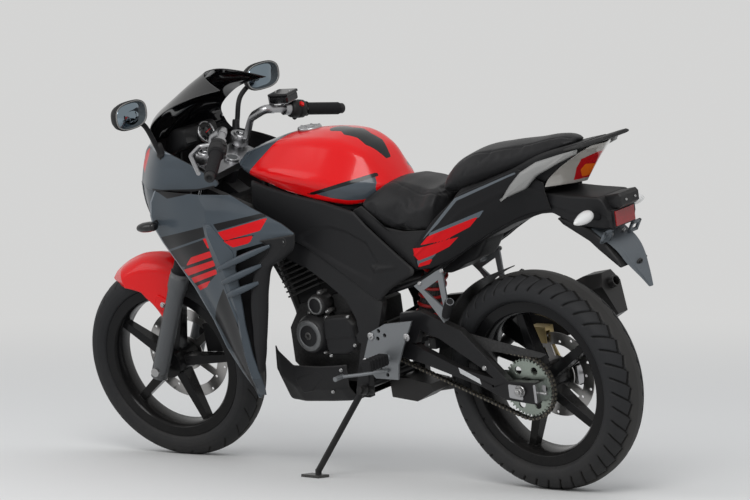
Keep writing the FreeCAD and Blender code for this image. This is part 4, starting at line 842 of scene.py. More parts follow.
def fairingPart():
    # straight between the three lines, with the bulge of fairingSide() ahead of the blade
    z = np.linspace(fairingRows[0, 0], fairingRows[-1, 0], fairingLook["rows"])
    lines = fairingLines(z)
    lines[:, 1::2] = softened(lines[:, 1::2], 9)
    ahead = np.linspace(1, 0, fairingLook["frontSteps"])[None, :, None]
    behind = np.linspace(0, 1, fairingLook["rearSteps"])[None, 1:, None]
    front, blade, rear = lines[:, None, 0:2], lines[:, None, 2:4], lines[:, None, 4:6]
    flat = np.concatenate([blade + (front - blade) * ahead, blade + (rear - blade) * behind], axis=1)
    flat[:, :fairingLook["frontSteps"], 1] += fairingLook["bulge"] * np.sin(np.pi * ahead[..., 0]) ** 2
    outer = np.stack([flat[..., 0], flat[..., 1], np.broadcast_to(z[:, None], flat.shape[:2])], -1)
    return shellPart(outer, outer - [0, fairingLook["wall"], 0], within=1)


spearRows = np.array([
    # z, left edge x, ridge x, right edge x
    (767, 978, 962, 946), (733, 969, 948, 913), (690, 955, 928, 874), (640, 934, 908, 871), (593, 912, 893, 866),
    (509, 886, 878, 866), (474, 885, 876, 866), (388, 887, 872, 856), (322, 889, 868, 842), (290, 893, 875, 853),
    (262, 903, 892, 870),
])


def spearPart():
    # two flat facets that meet on a ridge, their feet 1 mm inside the fairing
    z = np.linspace(767, 262, 110)
    left, ridge, right = interpolated(spearRows[:, 0], spearRows[:, 1:], z).T
    rise = fairingLook["spearRise"] * np.clip((z - 258) / 60, 0, 1) * np.clip((770 - z) / 30, 0.1, 1)
    columns = []
    for x, lift in ((left, -2.5), (left, 1.5), (ridge, 1.0), (right, 1.5), (right, -2.5)):
        extra = rise if lift == 1.0 else 0
        columns.append(np.stack([x, fairingSide(x, z) + lift + extra, z], -1))
    return ringsPart(np.stack(columns, 1), smooth=False)


redStripes = [
    [(985, 724), (970, 728), (960, 700), (967, 698)], [(1059, 664), (959, 691), (953, 675), (1109, 631)],
    [(1132, 616), (950, 665), (943, 650), (1116, 599)], [(1102, 594), (944, 640), (942, 626), (1093, 579)],
    [(1080, 572), (982, 603), (1014, 579), (1070, 560)], [(921, 746), (746, 787), (772, 751), (900, 722)],
    [(903, 720), (796, 738), (812, 716), (872, 703)],
]
# black moulding and painted shade: between the red stripes the bands are painted shadow lines, the last band is
# painted shade in the gap under the cowl, the wedge before the blade is black
blackAndShadeBands = [
    [(1222, 706), (978, 759), (972, 731), (1184, 673)],
    [(1179, 668), (970, 726), (952, 688), (1063, 654), (1109, 628), (1140, 625)],
    [(1116, 600), (943, 651), (944, 639), (1102, 593)], [(1093, 580), (942, 627), (982, 602), (1080, 571)],
    [(1109, 632), (953, 676), (950, 664), (1132, 615)],
    [(937, 768), (773, 797), (748, 790), (921, 750)], [(905, 724), (790, 740), (792, 736), (903, 719)],
    [(925, 585), (1030, 476), (956, 382), (906, 262), (889, 297), (885, 474)],
    [(1225, 852), (1185, 842), (1143, 828), (1046, 846), (966, 864), (922, 872), (930, 880), (1225, 880)],
]
# painted highlight along the upper rear edge
topEdgeHighlight = [(940, 893), (910, 874), (783, 816), (655, 753), (645, 762), (783, 826), (908, 886), (930, 900)]
fairingFields = dict(
    redField=fieldsOf(*redStripes),
    blackAndShadeField=fieldsOf(*blackAndShadeBands),
    # painted highlight: a strip along the front edge, joined to the one along the upper rear edge
    highlightStrip=lambda points: np.maximum(
        fairingLook["strip"] - (fairingLines(points[:, 2])[:, 0] - points[:, 0]) * 0.86, fieldOf(topEdgeHighlight)(points))
)
makePiece("fairingShells", bothSides([fairingPart()]), ["fairingPaint", "blackPlastic"], fields=fairingFields,
    standsFor=["side_fairings"])
makePiece("fairingSpears", bothSides([spearPart()]), ["slatePaint"])

# Upper cowl and chin: outlines in plan at a few heights, drawn smooth across and up

cowlRows = np.array([
    # z, nose x, shoulder x and y, side x and y, rear x and y
    (848, 1372, 1320, 92, 1200, 170, 1050, 186), (868, 1366, 1312, 93, 1190, 173, 940, 196),
    (915, 1350, 1295, 90, 1168, 170, 998, 188), (945, 1336, 1280, 86, 1160, 164, 1085, 176),
    (962, 1318, 1262, 82, 1182, 146, 1150, 160),
])
chinRows = np.array([
    (716, 1352, 1308, 70, 1272, 112, 1240, 132), (745, 1366, 1318, 75, 1275, 118, 1240, 138),
    (780, 1374, 1326, 80, 1276, 124, 1240, 144), (815, 1375, 1325, 86, 1270, 130, 1232, 148),
    (847.6, 1372, 1320, 91, 1262, 136, 1222, 152),
])


def nosePart(rows, upSteps, aroundSteps, wall=4, span=(0, 1)):
    # a smooth line through each height's outline from one rear edge over the nose to the other; span keeps a part
    outer = []
    for z, nose, shoulderX, shoulderY, sideX, sideY, rearX, rearY in curvedRows(rows, upSteps):
        half = np.array([(rearX, rearY), ((rearX + sideX) / 2, (rearY + sideY) / 2 + 1), (sideX, sideY),
            (shoulderX, shoulderY), (nose - 4, shoulderY * 0.45)])
        line = np.vstack([half, [(nose, 0)], half[::-1] * [1, -1]])
        flat = smoothLine(line, aroundSteps)
        flat = flat[int(span[0] * aroundSteps):int(span[1] * aroundSteps)]
        outer.append(np.insert(flat, 2, z, axis=1))
    outer = np.array(outer)
    along = np.gradient(outer, axis=1)
    inward = unit(np.stack([along[..., 1], -along[..., 0], np.zeros(along.shape[:2])], -1))
    towards = np.sign((inward * (outer - [1150, 0, 0]) * [1, 1, 0]).sum(axis=-1, keepdims=True))
    return shellPart(outer, outer - inward * towards * wall, within=1)


cowlFields = dict(
    redField=fieldsOf([(62, 895), (96, 880), (100, 935), (72, 952)],
        [(-62, 895), (-96, 880), (-100, 935), (-72, 952)], axes=(1, 2)),
    # painted shade in the gap along the cowl's lower edge, above the side fairing
    blackAndShadeField=fieldOf([(1216, 838), (1216, 853), (1165, 852), (1010, 860), (935, 874), (935, 838)]),
    # painted highlight along the cowl's top edge
    highlightStrip=lambda points: 4.5 - np.abs(points[:, 2] - 958)
)
makePiece("noseCowl", [nosePart(cowlRows, 60, 150)], ["fairingPaint", "blackPlastic"], fields=cowlFields,
    standsFor=["upper_cowl"])

# Headlamp: a shell of the chin's form with a clear lens standing on its front

lensRows = chinRows.copy()
lensRows[:, 1:] += np.array([3.0, 2.6, 1.2, 2.0, 1.6, 0.6, 1.2])
headlampParts = [nosePart(chinRows, 36, 130), dict(nosePart(lensRows[1:], 30, 130, 2.0, (0.30, 0.71)), finish=2)]
makePiece("headlampShell", headlampParts, ["slatePaint", "glossBlack", "lampLens"], standsFor=["headlamp"])

# Screen: rows of a half arch through edge and middle, rounded between them

screenRows = np.array([
    # edge x, side, height, then middle x and height
    (1160, 146, 962.6, 1312, 962.6), (1190, 150, 990, 1290, 1004), (1200, 150, 1030, 1240, 1058),
    (1140, 140, 1075, 1194, 1090), (1057, 115, 1106, 1140, 1130), (958, 98, 1126, 1080, 1165),
])
screenLook = dict(rows=90, across=90, wall=3.0, round=2.6)


def screenPart():
    # across each row, side runs as a cosine and the rise to the middle as a flattened sine
    full = throughRows(screenRows, np.arange(len(screenRows)),
        np.linspace(0, len(screenRows) - 1, screenLook["rows"]))
    turn = np.linspace(-1, 1, screenLook["across"])
    side = np.sin(turn * np.pi / 2)
    lift = (1 - np.abs(side) ** screenLook["round"])[None, :]
    edgeX, edgeY, edgeZ, middleX, middleZ = full.T[:, :, None]
    outer = np.stack([edgeX + (middleX - edgeX) * lift, edgeY * side[None, :], edgeZ + (middleZ - edgeZ) * lift], -1)
    return shellPart(outer, outer - [screenLook["wall"], 0, screenLook["wall"] * 0.6])


makePiece("smokedScreen", [screenPart()], ["smokedScreen"], standsFor=["windscreen"])

# Front fender: an arch over the tyre whose side runs down into a cheek beside the fork leg

fenderTop = np.array([(-34.5, 309), (-30, 315), (-20, 323), (-8, 331), (4, 332), (14, 327), (24, 322)], float)
fenderLow = np.array([(-34.5, 308), (-32, 292), (-28, 276), (-20, 256), (-12, 238), (-9, 232), (-5.6, 214), (3, 181),
    (11, 150), (13, 149), (19, 192), (19.8, 262), (20.4, 286), (24, 292)], float)
fenderLook = dict(steps=150, across=26, half=63, round=50, wall=3)
wheelAt = np.array([chassis["wheelbase"], chassis["frontAxle"]])


def fenderPart():
    # at each turn about the axle the depth grows from the crease to the lower edge; the side follows a quarter
    # ellipse until 50 mm down and then stays almost upright
    turn = np.linspace(fenderTop[0, 0], fenderTop[-1, 0], fenderLook["steps"])
    top = np.interp(turn, fenderTop[:, 0], fenderTop[:, 1])
    top = softened(top[:, None], 21)[:, 0]
    depth = top - np.interp(turn, fenderLow[:, 0], fenderLow[:, 1])
    share = np.linspace(-1, 1, 2 * fenderLook["across"] + 1)
    down = depth[:, None] * np.abs(share)[None, :] ** 2.0
    arch = np.sqrt(1 - (1 - np.clip(down / fenderLook["round"], 0, 1)) ** 2)
    taper = np.clip((turn[:, None] + 36.5) / 15, 0.08, 1) ** 0.8
    side = np.sign(share) * (fenderLook["half"] * arch + np.clip(0.12 * (down - fenderLook["round"]), 0, 8)) * taper
    crease = 3.0 * np.exp(-(side / 7) ** 2) * np.clip(depth / 30, 0, 1)[:, None]
    angle = np.radians(turn)[:, None]

    def shape(lift, narrow):
        radius = top[:, None] - down + crease + lift
        return np.stack([wheelAt[0] - radius * np.sin(angle), side * narrow, wheelAt[1] + radius * np.cos(angle)], -1)
    return shellPart(shape(0, 1), shape(-fenderLook["wall"], 0.955), within=1)


makePiece("frontFender", [fenderPart()], ["redPaint", "blackPlastic"], "steering_assembly",
    standsFor=["front_fender"])
lugCorners = fromFork([(46, 0, 483), (113, 0, 480), (113, 0, 522), (46, 0, 519)])
lugRim = roundedOutline(lugCorners[:, [0, 2]], 7, 3)
lugPads = bothSides([slabPart(lugRim, 62, 77.6, 3)])
lugBolts = bothSides(boltPart(fromFork([84, 77.4, 501]), (0, 1, 0), 7.5, 1))
makePiece("fenderLugPads", lugPads + lugBolts, ["redPaint", "axleSteel"], "steering_assembly")

# Fork legs: a turned sleeve over each solid slider, with a collar and a dust seal at its top


def forkSleeve(side):
    # both profiles are turned about the leg's own line
    foot = fromFork([39, side * 95, 296])
    leg = turnedPart([(24.4, 0), (25.0, 14), (25.2, 250), (26.4, 282), (29.5, 292), (29.5, 326), (28, 334),
        (24, 337)], foot, steerAxis, 48)
    seal = turnedPart([(19, 336), (25, 336), (25, 344), (22, 347), (22, 351), (24, 353), (24, 360),
        (22, 362), (22, 366), (24, 368), (24, 376), (21, 380), (19, 380)], foot, steerAxis, 48, 1, True)
    return [leg, seal]


makePiece("forkSleeves", forkSleeve(1) + forkSleeve(-1), ["greyCast", "gripRubber"], "steering_assembly")

# Mirrors: an oval bowl with a silver rim and a glass set back in it, on a bent stalk

mirrorLook = dict(middle=(1138, 281, 1092), wide=70, high=41, facing=(-1.0, -0.06, -0.02))


def mirrorParts():
    # profiles (share of the oval, depth ahead of the glass) carried round the oval
    middle = np.array(mirrorLook["middle"], float)
    back = unit(mirrorLook["facing"])
    across = unit(np.cross(back, [0, 0, 1.0]))
    up = np.cross(across, back)
    turn = np.linspace(0, 2 * np.pi, 48, endpoint=False)

    def boxed(wave):
        return np.sign(wave) * np.abs(wave) ** 0.74

    def ovalRings(profile, finish):
        rings = []
        for share, depth in profile:
            ring = (boxed(np.cos(turn)) * mirrorLook["wide"] * share)[:, None] * across
            ring = ring + (boxed(np.sin(turn)) * mirrorLook["high"] * share)[:, None] * up
            rings.append(middle + ring - back * depth)
        return ringsPart(rings, finish)
    bowl = ovalRings([(0.90, 1.0), (0.985, 0.0), (1.0, 4.0), (0.96, 14.0), (0.80, 28.0), (0.45, 37.0),
        (0.1, 39.0)], 0)
    rim = ovalRings([(0.88, 0.5), (0.885, -1.6), (0.94, -2.2), (0.955, 0.6)], 1)
    glass = ovalRings([(0.89, 0.8), (0.89, -0.6), (0.1, -0.7)], 2)
    stalk = tubeAlong([(1162, 160, 940), (1165, 176, 985), (1168, 206, 1046), (1162, 240, 1070), (1150, 262, 1084)],
        7.4, 16, 40, 0)
    boot = turnedPart([(15, 0), (15, 6), (11.5, 14), (10.5, 34), (8.5, 38)], (1162, 158, 948),
        (0.03, 0.24, 0.97), 24, 0)
    return [bowl, rim, glass, stalk, boot]


makePiece("roundMirrors", bothSides(mirrorParts()), ["blackPlastic", "silverPaint", "mirrorGlass"],
    standsFor=["mirrors"])

# Dash: a hooded panel with a ringed dial and a small display beside it

dashRows = np.array([
    # x, low z, high z, half width
    (1232, 930, 978, 70), (1222, 928, 984, 74), (1180, 940, 1007, 86), (1160, 948, 1007, 80), (1150, 952, 1004, 74),
])


def boxCorners(low, high, half, narrow=0.9):
    return [(-half, low), (half, low), (half * narrow, high), (-half * narrow, high)]


def hullPart(rows, corner=12, count=60, steps=30):
    # rounded boxes through the rows of (x, low, high, half width), a tenth narrower at the top
    return loftPart(curvedRows(rows, steps), boxCorners, corner, 4, count)


def dialParts(middle, radius, way):
    # a ringed bowl and its face, eleven short marks over 260 degrees and a needle
    base = turnedPart([(radius * 0.98, 0), (radius, 3), (radius * 0.96, 7), (radius * 0.86, 8),
        (radius * 0.84, 4)], middle, way, 48, 1)
    face = turnedPart([(radius * 0.85, 4), (radius * 0.85, 5)], middle, way, 48, 2)
    parts = [base, face]
    way = unit(way)
    side = unit(np.cross(way, [0, 0, 1.0]))
    up = np.cross(way, side)
    for turn in np.radians(np.arange(-130, 131, 26)):
        arm = math.sin(turn) * side + math.cos(turn) * up
        start = np.asarray(middle) + way * 5.2 + arm * radius * 0.68
        parts.append(tubeAlong([start, start + arm * radius * 0.12], 0.8, 6, 3, 3))
    needle = math.sin(-1.9) * side + math.cos(-1.9) * up
    start = np.asarray(middle) + way * 6.0
    parts.append(tubeAlong([start - needle * 4, start + needle * radius * 0.6], 1.0, 6, 4, 4))
    return parts


dashParts = [hullPart(dashRows)] + dialParts((1150, -18, 978), 34, (-1, 0, 0.35))
dashParts.append(slabPart(roundedOutline([(1146, 962), (1152, 962), (1160, 998), (1154, 998)], 2),
    22, 66, 1.5, finish=2))
makePiece("dashPanel", dashParts, ["blackPlastic", "bareAlloy", "glossBlack", "labelSilver", "redPaint"],
    standsFor=["dash"])

# Front turn signals: dark tapered bodies on rubber stems

signalLook = dict(sides=28, frontRows=26, frontSide=214, frontHeight=754, frontDroop=0.10,
    rearRows=30, rearX=-283, rearHeight=790, rearDroop=0.12)
signalRing = np.linspace(0, 2 * np.pi, signalLook["sides"], endpoint=False)


def frontSignalParts():
    # oval rings from nose to foot, then the stem
    stations = np.array([(1248, 4, 3), (1243, 10, 8), (1230, 16, 13), (1212, 19, 15), (1190, 18, 14), (1176, 13, 10),
        (1172, 6, 5)], float)
    x, wide, tall = curvedRows(stations, signalLook["frontRows"]).T[:, :, None]
    y = signalLook["frontSide"] + wide * np.cos(signalRing)
    z = signalLook["frontHeight"] + tall * np.sin(signalRing) - (x - 1172) * signalLook["frontDroop"]
    rings = np.stack([np.broadcast_to(x, y.shape), y, z], -1)
    stem = tubeAlong([(1215, 162, 752), (1210, 182, 752), (1206, 204, 752)],
        [9, 9, 8.5, 8, 7.5, 7.5, 7.5, 8], 14, 8, 0)
    return [ringsPart(rings, finish=1), stem]


makePiece("frontTurnSignals", bothSides(frontSignalParts()), ["gripRubber", "glossBlack"],
    standsFor=["front_signals"])

# Seats: each starts as a slightly small smooth shape, is blown up as cloth and then gets its sewn lines

# rows are x, bottom z, its half width, widest z, its half width, top z, its half width, crown; a seam is a sewn
# line of (x, side) points
seats = {
    "riderSeatPad": dict(node="rider_seat", fill=0.75, rows=[
        (480, 806, 92, 814, 114, 822, 88, 2), (470, 790, 98, 806, 124, 832, 92, 3),
        (440, 768, 102, 800, 130, 848, 92, 5), (410, 752, 106, 794, 132, 864, 92, 7),
        (340, 740, 110, 790, 132, 862, 96, 8), (270, 740, 116, 796, 134, 850, 104, 8),
        (232, 748, 112, 804, 130, 850, 104, 8), (218, 756, 104, 808, 122, 850, 96, 8)],
        seams=[[(474, 26), (440, 48), (400, 62), (340, 80), (270, 92), (222, 92)], [(222, 0), (222, 40), (222, 88)]]),
    "pillionSeatPad": dict(node="pillion_seat", fill=0.8, rows=[
        (213, 836, 66, 840, 78, 850, 62, 4), (200, 838, 80, 850, 94, 878, 70, 7),
        (170, 844, 88, 868, 104, 912, 78, 9), (107, 858, 95, 890, 110, 948, 84, 12),
        (19, 885, 91, 915, 103, 965, 78, 12), (-84, 919, 73, 940, 83, 976, 62, 10),
        (-152, 944, 54, 956, 62, 985, 44, 8), (-205, 964, 34, 970, 42, 983, 28, 4),
        (-217, 968, 22, 972, 30, 980, 18, 3)],
        seams=[[(206, 60), (150, 70), (60, 74), (-40, 62), (-130, 42), (-200, 18)]]),
}
seatLook = dict(rows=110, around=96, bottomRound=8, sideRound=26, topRound=34)
padLook = dict(voxel=0.0055, pressure=4.0, cap=0.006, frames=20, smaller=2.0, seamDepth=1.6, seamWidth=2.4)


def meshPoints(mesh):
    # all the vertices in one array
    points = np.empty(len(mesh.vertices) * 3, np.float32)
    mesh.vertices.foreach_get("co", points)
    return points.reshape(-1, 3).astype(float)


def bakedMesh(piece):
    return bpy.data.meshes.new_from_object(piece.evaluated_get(bpy.context.evaluated_depsgraph_get()))


def uprightOf(points):
    # the way back of place()
    return (points - rearHub) @ leaning / 0.001 + [0, 0, chassis["rearAxle"]]


def paddedPiece(name, part, finishName, node, fill, seamRule):
    # the copy is remeshed in small cells and swells under cloth pressure; no point moves past the cap
    seedPiece = addObject(name + "Seed", makeMesh(name + "Seed", [part], [finishName], False, {}))
    remesh = seedPiece.modifiers.new("Remesh", "REMESH")
    remesh.mode = "VOXEL"
    remesh.voxel_size = padLook["voxel"]
    seedPiece.data = bakedMesh(seedPiece)
    seedPiece.modifiers.clear()
    start = meshPoints(seedPiece.data)
    cloth = seedPiece.modifiers.new("Cloth", "CLOTH")
    cloth.settings.use_pressure = True
    cloth.settings.uniform_pressure_force = padLook["pressure"]
    cloth.settings.effector_weights.gravity = 0
    for step in range(1, padLook["frames"] + 1):
        bpy.context.scene.frame_set(step)
    blown = meshPoints(bakedMesh(seedPiece))
    move = blown - start
    far = np.linalg.norm(move, axis=1, keepdims=True)
    seedPiece.modifiers.clear()
    bpy.context.scene.frame_set(1)
    swollen = start + move * np.minimum(1, padLook["cap"] / np.maximum(far, 1e-9))
    seedPiece.data.vertices.foreach_set("co", swollen.astype(np.float32).ravel())
    finer = seedPiece.modifiers.new("Finer", "SUBSURF")
    finer.levels = finer.render_levels = 1
    mesh = bakedMesh(seedPiece)
    bpy.data.objects.remove(seedPiece)
    points = meshPoints(mesh)
    normals = np.empty(len(points) * 3, np.float32)
    mesh.vertices.foreach_get("normal", normals)
    away = seamRule(uprightOf(points))
    press = padLook["seamDepth"] * 0.001 * np.exp(-(away / padLook["seamWidth"]) ** 2)
    points -= normals.reshape(-1, 3) * press[:, None]
    mesh.vertices.foreach_set("co", points.astype(np.float32).ravel())
    mesh.polygons.foreach_set("use_smooth", np.ones(len(mesh.polygons), bool))
    mesh.materials.clear()
    mesh.materials.append(material[finishName])
    mesh.update()
    piece = addObject(name, mesh)
    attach(piece, "chassis")
    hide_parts(node)
    print("bike:", name, len(mesh.polygons) * 2, "triangles")


def seamDistance(lines):
    # distance in mm to the sewn lines seen from above, the same on both sides of the bike
    curves = [smoothLine(line, 80) * [1, side] for line in lines for side in (1, -1)]

    def rule(points):
        nearest = np.min([edgeDistance(points[:, :2], curve[:-1], curve[1:]) for curve in curves], axis=0)
        return np.where(points[:, 2] > 800, nearest, 99)
    return rule


for seatName, seat in seats.items():
    rows = np.array(seat["rows"], float)
    rows[:, [2, 4, 5, 6]] -= padLook["smaller"]
    paddedPiece(seatName, archPart(rows, seatLook), "seatLeather", seat["node"], seat["fill"],
        seamDistance(seat["seams"]))

# Tail cowls: one panel a side, its outer face rounded from the lower edge over a middle line to the upper edge

tailRows = np.array([
    # x, low z, high z, then the side at the lower edge, middle and upper edge
    (292, 632, 694, 124, 132, 136), (246, 638, 740, 120, 135, 139), (200, 652, 782, 114, 136, 140),
    (150, 678, 818, 106, 132, 138), (110, 702, 850, 98, 128, 134), (50, 734, 870, 88, 118, 124),
    (20, 748, 880, 82, 112, 118), (-25, 768, 898, 76, 104, 108), (-70, 784, 912, 70, 94, 97),
    (-142, 796, 872, 67, 80, 88),
])
tailLook = dict(rows=110, up=30, wall=4)


def tailPart():
    # side runs as a parabola through the three values of each row
    full = straightRows(tailRows, tailLook["rows"])
    full[:, 1:] = softened(full[:, 1:], 11)
    up = np.linspace(0, 1, tailLook["up"])[None, :]
    x, low, high, lowY, midY, highY = full.T[:, :, None]
    side = lowY * (1 - up) * (1 - 2 * up) + 4 * midY * up * (1 - up) + highY * up * (2 * up - 1)
    side = side + 2.5 * np.exp(-((up - 0.66) / 0.05) ** 2)
    outer = np.stack([np.broadcast_to(x, side.shape), side, low + (high - low) * up], -1)
    return shellPart(outer, outer - [0, tailLook["wall"], 0], within=1)


tailFields = dict(
    redField=fieldsOf([(264, 705), (232, 731), (64, 786), (98, 756), (178, 721)],
        [(306, 694), (267, 698), (138, 729), (173, 701), (227, 678), (282, 660)],
        [(292, 640), (282, 652), (232, 668), (250, 650)]),
    borderField=fieldsOf([(223, 741), (43, 804), (63, 783), (232, 726)],
        [(288, 660), (228, 680), (205, 690), (240, 664), (290, 640)]),
    # painted highlight along the upper edge
    highlightStrip=fieldOf([(264, 712), (194, 774), (123, 838), (-66, 905), (-64, 899), (118, 831), (190, 766)])
)
makePiece("tailPanels", bothSides([tailPart()]), ["tailPaint", "blackPlastic"], fields=tailFields,
    standsFor=["tail_cowls"])

# Grab rails: one flat bar a side that meets the spoiler behind the seat

railOutline = roundedOutline([(-9, 824), (-50, 871), (-89, 906), (-144, 934), (-218, 953), (-268, 964), (-264, 952),
    (-216, 932), (-138, 896), (-99, 861), (-28, 835)],
    [10, 30, 30, 40, 40, 2, 6, 40, 30, 30, 6], 4)
spoilerRows = np.array([(-215, 954, 962, 80), (-262, 962, 974, 80), (-300, 971, 984, 72), (-326, 979, 990, 64),
    (-334, 983, 989, 60)], float)
railLook = dict(near=108, bend=0.00042, half=9)


def wingCorners(low, high, half):
    # the spoiler's section, 4 mm narrower a side at the top
    return [(-half, low), (half, low), (half - 4, high), (4 - half, high)]


def railPart():
    # a flat bar, bent inward by the square of its way past x = -60
    part = slabPart(railOutline, railLook["near"] - railLook["half"], railLook["near"] + railLook["half"],
        4.5, smooth=True)
    part["points"][:, 1] -= railLook["bend"] * np.maximum(-60 - part["points"][:, 0], 0) ** 2
    return part


topRows = np.array([(236, 700, 748, 96), (150, 770, 848, 92), (60, 820, 884, 90), (-40, 860, 914, 82),
    (-140, 872, 950, 80), (-210, 920, 966, 72), (-262, 950, 976, 62)], float)
railParts = bothSides([railPart()]) + [loftPart(spoilerRows, wingCorners, 3.5, 4, 60, 1)]
makePiece("grabRails", railParts, ["silverPaint", "blackPlastic"], standsFor=["grab_rail"])
makePiece("tailTopCover", [hullPart(topRows, 10, 70, 60)], ["blackPlastic"])

# Tail lamp: a pale wedge of lens with a red and an amber field on each flank

lampRows = np.array([
    # z, then x and half width of the front edge, and x of the ridge at the rear
    (862, -148, 88, -222), (880, -160, 88, -236), (900, -184, 86, -251), (920, -212, 82, -266), (940, -245, 75, -281),
    (955, -266, 64, -292), (966, -284, 40, -299),
], float)


def lampPart():
    # at each height a wedge with a round nose: x runs from the front edge to the ridge as 1 minus the share of the
    # half width to the power 1.3
    z, front, half, ridge = curvedRows(lampRows, 60).T[:, :, None]
    share = np.sin(np.linspace(-1, 1, 81) * np.pi / 2)[None, :]
    x = front + (ridge - front) * (1 - np.abs(share) ** 1.3)
    outer = np.stack([x, half * share, np.broadcast_to(z, x.shape)], -1)
    inner = outer * [1, 0.86, 1] + [9, 0, 0]
    return shellPart(outer, inner)


lampFields = dict(
    redField=fieldOf([(-205, 870), (-227, 906), (-249, 930), (-280, 943), (-307, 943), (-294, 920), (-281, 903),
        (-269, 875)]),
    amberField=fieldOf([(-222, 876), (-230, 898), (-246, 913), (-262, 907), (-263, 890), (-247, 880)])
)
makePiece("tailLampLens", [lampPart()], ["tailLens"], fields=lampFields, standsFor=["tail_lamp"])

# Undertail: a channel with a crease along its side, its rear block and the box under the seat

underRows = np.array([(220, 652, 694, 60), (120, 698, 735, 62), (0, 752, 800, 64), (-98, 781, 840, 64),
    (-139, 785, 840, 66), (-210, 752, 834, 68), (-309, 744, 831, 64), (-322, 746, 788, 60)], float)


def trayCorners(low, high, half):
    # the sides step in by 3 mm below a crease at 45 % of the height
    crease = low + 0.45 * (high - low)
    return [(-half + 8, low), (half - 8, low), (half - 3, crease - 2), (half, crease + 2), (half, high),
        (-half, high), (-half, crease + 2), (-half + 3, crease - 2)]


underFull = straightRows(underRows, 90)
underFull[:, 1:] = softened(underFull[:, 1:], 5)
underParts = [loftPart(underFull, trayCorners, [6, 6, 2, 2, 5, 5, 2, 2], 3, 90)]
rearBlock = roundedOutline([(-262, 796), (-262, 824), (-348, 838), (-356, 830), (-356, 806), (-345, 798)], 3, 2)
underParts.append(slabPart(rearBlock, -40, 40, 3))
for spot in ((-357, 20, 818), (-357, -20, 818)):
    underParts += boltPart(spot, (-1, 0, 0.1), 3.0, 1)
boxRows = np.array([(300, 610, 680, 46), (245, 606, 700, 48), (200, 628, 716, 48), (140, 660, 730, 46),
    (112, 700, 740, 44)], float)
underParts.append(hullPart(boxRows, 8, 50, 24))
makePiece("undertailTray", underParts, ["blackPlastic", "axleSteel"], standsFor=["undertail"])

# Red reflector in a dark frame on the undertail's rear face

reflectorParts = [slabPart(roundedOutline([(-318, 746), (-318, 794), (-330, 794), (-330, 746)], 1.5, 2),
    -46, 46, 1.5),
    slabPart(roundedOutline([(-328, 750), (-328, 790), (-333.5, 790), (-333.5, 750)], 1.0, 2), -42, 42, 1.0,
        finish=1)]
makePiece("rearReflector", reflectorParts, ["blackPlastic", "redLens"])

# Plate holder: a pointed plate with a raised middle panel, two slotted tabs, a bolt and a round boss

holderSpine = np.array([
    # x and z of the face's middle, then half width and how far the middle stands proud
    (-268, 742, 62, 1), (-292, 722, 60, 3), (-320, 700, 57, 4), (-338, 680, 52, 4), (-352, 655, 46, 4),
    (-366, 630, 34, 4), (-380, 604, 20, 3), (-390, 582, 9, 1),
])
holderWay = np.array([-0.86, 0, -0.51])


def holderPart():
    # the face falls away from the middle panel by its step; the back is 9 mm ahead of it
    full = smoothLine(holderSpine, 40)
    across = np.array([-1, -0.92, -0.62, -0.56, 0, 0.56, 0.62, 0.92, 1])
    raised = np.array([-3, 0, 0, 1, 1, 1, 0, 0, -3.0])
    middle = np.insert(full[:, :2], 1, 0, axis=1)
    lift = np.where(raised > 0, full[:, 3:4], raised)
    front = middle[:, None] + holderWay * lift[..., None]
    front[..., 1] += across * full[:, 2:3]
    back = middle[:, None] - holderWay * 9 + np.zeros_like(front)
    back[..., 1] += across * (full[:, 2:3] - 4)
    return dict(shellPart(front, back), smooth=False)


def tabParts(side):
    # a rounded frame round an open slot, made of four short bars
    parts = []
    middle = np.array([-312, side * 62, 727.0])
    ways = (np.array([-0.51, 0, 0.86]), np.array([0, 1.0, 0]))
    for up, out, high, wide in ((13, 0, 4, 20), (-13, 0, 4, 20), (0, 16, 17, 4), (0, -16, 17, 4)):
        centre = middle + ways[0] * up + ways[1] * out
        ring = centre + np.array([(-1, -1), (1, -1), (1, 1), (-1, 1)]) @ np.array([ways[0] * high, ways[1] * wide])
        rings = np.array([ring - holderWay * 4, ring + holderWay * 2.5])
        parts.append(ringsPart(rings, smooth=False))
    return parts


holderParts = [holderPart()] + tabParts(1) + tabParts(-1)
for across in (28, -28):
    holderParts += boltPart((-300, across, 724), holderWay, 6.0, 1)
holderParts.append(turnedPart([(12, 0), (12, 4), (9, 5), (8.5, 3), (6, 3), (5.5, 6)], (-358, 0, 646),
    holderWay, 28, 2))
holderFoot = roundedOutline([(-150, 775), (-262, 740), (-292, 716), (-336, 664), (-346, 640),
    (-330, 650), (-276, 690), (-250, 712), (-168, 756)], 8, 3)
holderParts.append(slabPart(holderFoot, -61, 61, 3, finish=2))
makePiece("plateHolder", holderParts, ["greyPlastic", "axleSteel", "blackPlastic"], standsFor=["plate_holder"])

# Rear turn signals: clear drops on rubber stems


def rearSignalParts():
    # rings along the outward axis, then the stem and its collar
    stations = np.array([(84, 9), (88, 14), (98, 18), (112, 18.5), (130, 15), (146, 9), (155, 3.5)], float)
    y, radius = curvedRows(stations, signalLook["rearRows"]).T[:, :, None]
    x = radius * np.cos(signalRing) + signalLook["rearX"]
    z = signalLook["rearHeight"] + radius * 0.88 * np.sin(signalRing) - (y - 90) * signalLook["rearDroop"]
    rings = np.stack([x, np.broadcast_to(y, x.shape), z], -1)
    stem = tubeAlong([(-288, 60, 779), (-287, 76, 784), (-284, 91, 789)],
        [11, 11, 10, 9.5, 9.5, 10.5, 12.5, 13], 14, 8, 1)
    return [ringsPart(rings, finish=0), stem]


makePiece("rearTurnSignals", bothSides(rearSignalParts()), ["frostLens", "gripRubber"], standsFor=["rear_signals"])

# Side panels. A relief panel is a fan of rings from the middle of an outline; its face rises with the distance
# to the outline, so that the edge rolls over and the field inside can sink or stand proud


